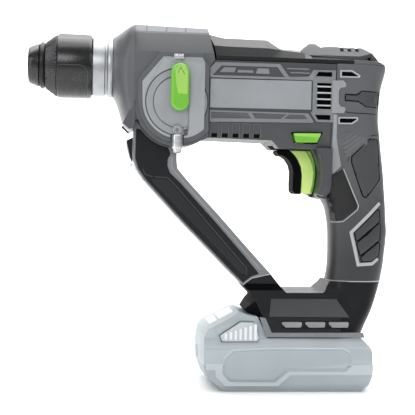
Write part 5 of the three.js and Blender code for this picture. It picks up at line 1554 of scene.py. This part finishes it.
def battery_side(tag, s):
    label = [(-51.8, 22.8), (-45.8, 29.4), (-17.5, 31.0), (34.6, 31.0), (38.9, 28.6), (40.6, 25.4),
             (40.4, 21.6), (36.2, 17.4), (-6.4, 17.3), (-15.6, 9.2), (-47.3, 9.4), (-51.8, 14.1)]
    battery_tile(f"battery_label_{tag}", rounded(label, 1.6), s, 0.0, PALE, 0.3)
    low_band = [(-65.4, 16.2), (-58.6, 16.2), (-58.4, 11.4), (-51.4, 4.6), (-12.8, 4.6), (-3.6, 12.6),
                (57.2, 12.8),
                (57.6, 20.4), (42.4, 20.4), (37.2, 15.4), (-5.2, 15.4), (-14.8, 7.4), (-48.0, 7.6),
                (-53.4, 13.4), (-53.4, 20.8), (-65.6, 20.8)]
    battery_tile(f"battery_band_{tag}", rounded(low_band, 0.5), s, 0.1, PALE_LIGHT, 0.3)
    rim = stripe(resampled([(-53.0, 24.2), (-46.4, 30.6), (-17.4, 32.2), (35.2, 32.2), (39.8, 29.4)], 6,
                           False), 1.2)
    battery_tile(f"battery_rim_{tag}", rim, s, 0.15, PALE_LIGHT, 0.2)
    key = slab(f"battery_release_{tag}", rounded(RELEASE, 1.4), s * (BATTERY_HW - 6.1),
               s * (BATTERY_HW - 2.4))
    place(paint(soften(key, 0.7, 3, 40), PALE_LIGHT), f"release_{'left' if s < 0 else 'right'}",
          "battery_white", f"release_button_{'left' if s < 0 else 'right'}")
    rib = slab(f"battery_release_ribs_{tag}", rounded([(-0.95, 0), (0.95, 0), (0.95, 4.4), (-0.95, 4.4)],
                                                      0.4), s * (BATTERY_HW - 2.6), s * (BATTERY_HW - 1.6))
    row_of(rib, 7, (3.6, 0, 0), WHITE, grow=(0, 0, 0.26), pivot=(-51.4, 0, 38.0))
    place(rib, f"release_{'left' if s < 0 else 'right'}", "battery_white")


# ------------------------------------------------------------------ pieces kept from the frame


def kept_nodes():
    looks = {
        "spindle": STEEL, "spindle_gear": STEEL, "spindle_bearing": STEEL, "impact_bolt": STEEL,
             "striker": STEEL,
        "piston": STEEL, "wobble_ring": STEEL, "intermediate_shaft": STEEL, "intermediate_gear": STEEL,
        "rotor_shaft": STEEL, "rotor_core": SATIN, "stator": COPPER, "cooling_fan": BLACK,
             "motor_bearing": STEEL,
        "bearing_plate": SATIN, "lock_ball_top": CHROME, "lock_ball_bottom": CHROME, "switch_module": BLACK,
        "control_board": BOARD, "terminal_block": BLACK, "cell_pack": CELLS, "screw_body": STEEL,
             "screw_grip": STEEL, "screw_foot": STEEL, "screw_arm": STEEL,
    }
    for name, mat in looks.items():
        ob = NODES[name]
        paint(ob, mat)
        for p in ob.data.polygons:
            p.material_index = 0
        mod = ob.modifiers.new("soft_edges", "BEVEL")
        mod.width = 0.12 * MM
        mod.segments = 2
        mod.limit_method = "ANGLE"
        mod.angle_limit = math.radians(32)


# ------------------------------------------------------------------ studio


def studio():
    """White floor that curves up into a wall behind the tool, five lamps and white air, all in metres."""
    verts, faces = [], []
    wall, bend = 1.3, 0.5
    profile = [(-9.0, 0.0), (wall, 0.0)]
    for degrees in range(6, 91, 6):
        a = math.radians(degrees)
        profile.append((wall + bend * math.sin(a), bend - bend * math.cos(a)))
    profile.append((wall + bend, 2.6))
    for y, z in profile:
        verts += [(-3000, y * 1000, z * 1000), (3000, y * 1000, z * 1000)]
    for k in range(len(profile) - 1):
        faces.append([2 * k, 2 * k + 1, 2 * k + 3, 2 * k + 2])
    floor = obj_from("studio_floor", verts, faces)
    bm = bmesh.new()
    bm.from_mesh(floor.data)
    if sum(f.normal.z for f in bm.faces) < 0:
        bmesh.ops.reverse_faces(bm, faces=bm.faces)
    bm.to_mesh(floor.data)
    bm.free()
    paint(smooth(floor, 60), FLOOR)
    for name, size, power, at, aim in (
            ("key_light", (0.6, 0.4), 4.2, (-0.4, -0.95, 0.65), (-0.04, 0, 0.16)),
            ("fill_light", (0.8, 0.7), 2.0, (0.7, -0.9, 0.8), (0, 0, 0.12)),
            ("top_light", (0.9, 0.3), 2.7, (0.0, -0.15, 1.0), (-0.03, 0, 0.15)),
            ("left_strip", (0.1, 0.7), 1.5, (-0.9, -0.45, 0.35), (-0.1, 0, 0.18)),
            ("back_wash", (3.0, 1.8), 85, (0.0, 0.75, 1.8), (0.0, 1.6, 0.3))):
        light = bpy.data.lights.new(name, "AREA")
        light.shape = "RECTANGLE"
        light.size, light.size_y = size
        light.energy = power
        ob = bpy.data.objects.new(name, light)
        ob.location = at
        ob.rotation_mode = "QUATERNION"
        ob.rotation_quaternion = (Vector(at) - Vector(aim)).to_track_quat("Z", "Y")
        bpy.context.scene.collection.objects.link(ob)
    world = bpy.data.worlds.new("studio_air")
    world.use_nodes = True
    world.node_tree.nodes["Background"].inputs["Color"].default_value = (1, 1, 1, 1)
    world.node_tree.nodes["Background"].inputs["Strength"].default_value = 0.3
    bpy.context.scene.world = world
    bpy.context.scene.view_settings.view_transform = "Standard"


def camera():
    """Long lens, almost square to the near flank."""
    aim, reach = Vector((-0.063, 0, 0.1325)), 0.755
    data = bpy.data.cameras.new("studio_camera")
    data.lens = 86.75
    data.sensor_width = 36
    cam = bpy.data.objects.new("studio_camera", data)
    bpy.context.scene.collection.objects.link(cam)
    azimuth, height, roll = math.radians(-5.8), math.radians(1.0), math.radians(1.2)
    back = Vector((math.sin(azimuth) * math.cos(height), -math.cos(azimuth) * math.cos(height),
                   math.sin(height)))
    right = (-back).cross(Vector((0, 0, 1))).normalized()
    up = right.cross(-back)
    x = right * math.cos(roll) + up * math.sin(roll)
    y = -right * math.sin(roll) + up * math.cos(roll)
    turn = Matrix((x, y, back)).transposed()
    cam.rotation_mode = "QUATERNION"
    cam.rotation_quaternion = turn.to_quaternion()
    cam.location = aim + back * reach
    data.clip_start, data.clip_end = 0.01, 50
    bpy.context.scene.camera = cam


tool_holder()
gear_case()
selector()
body()
top_covers()
grip()
arm()
foot()
trigger_group()
battery()
kept_nodes()
studio()
camera()
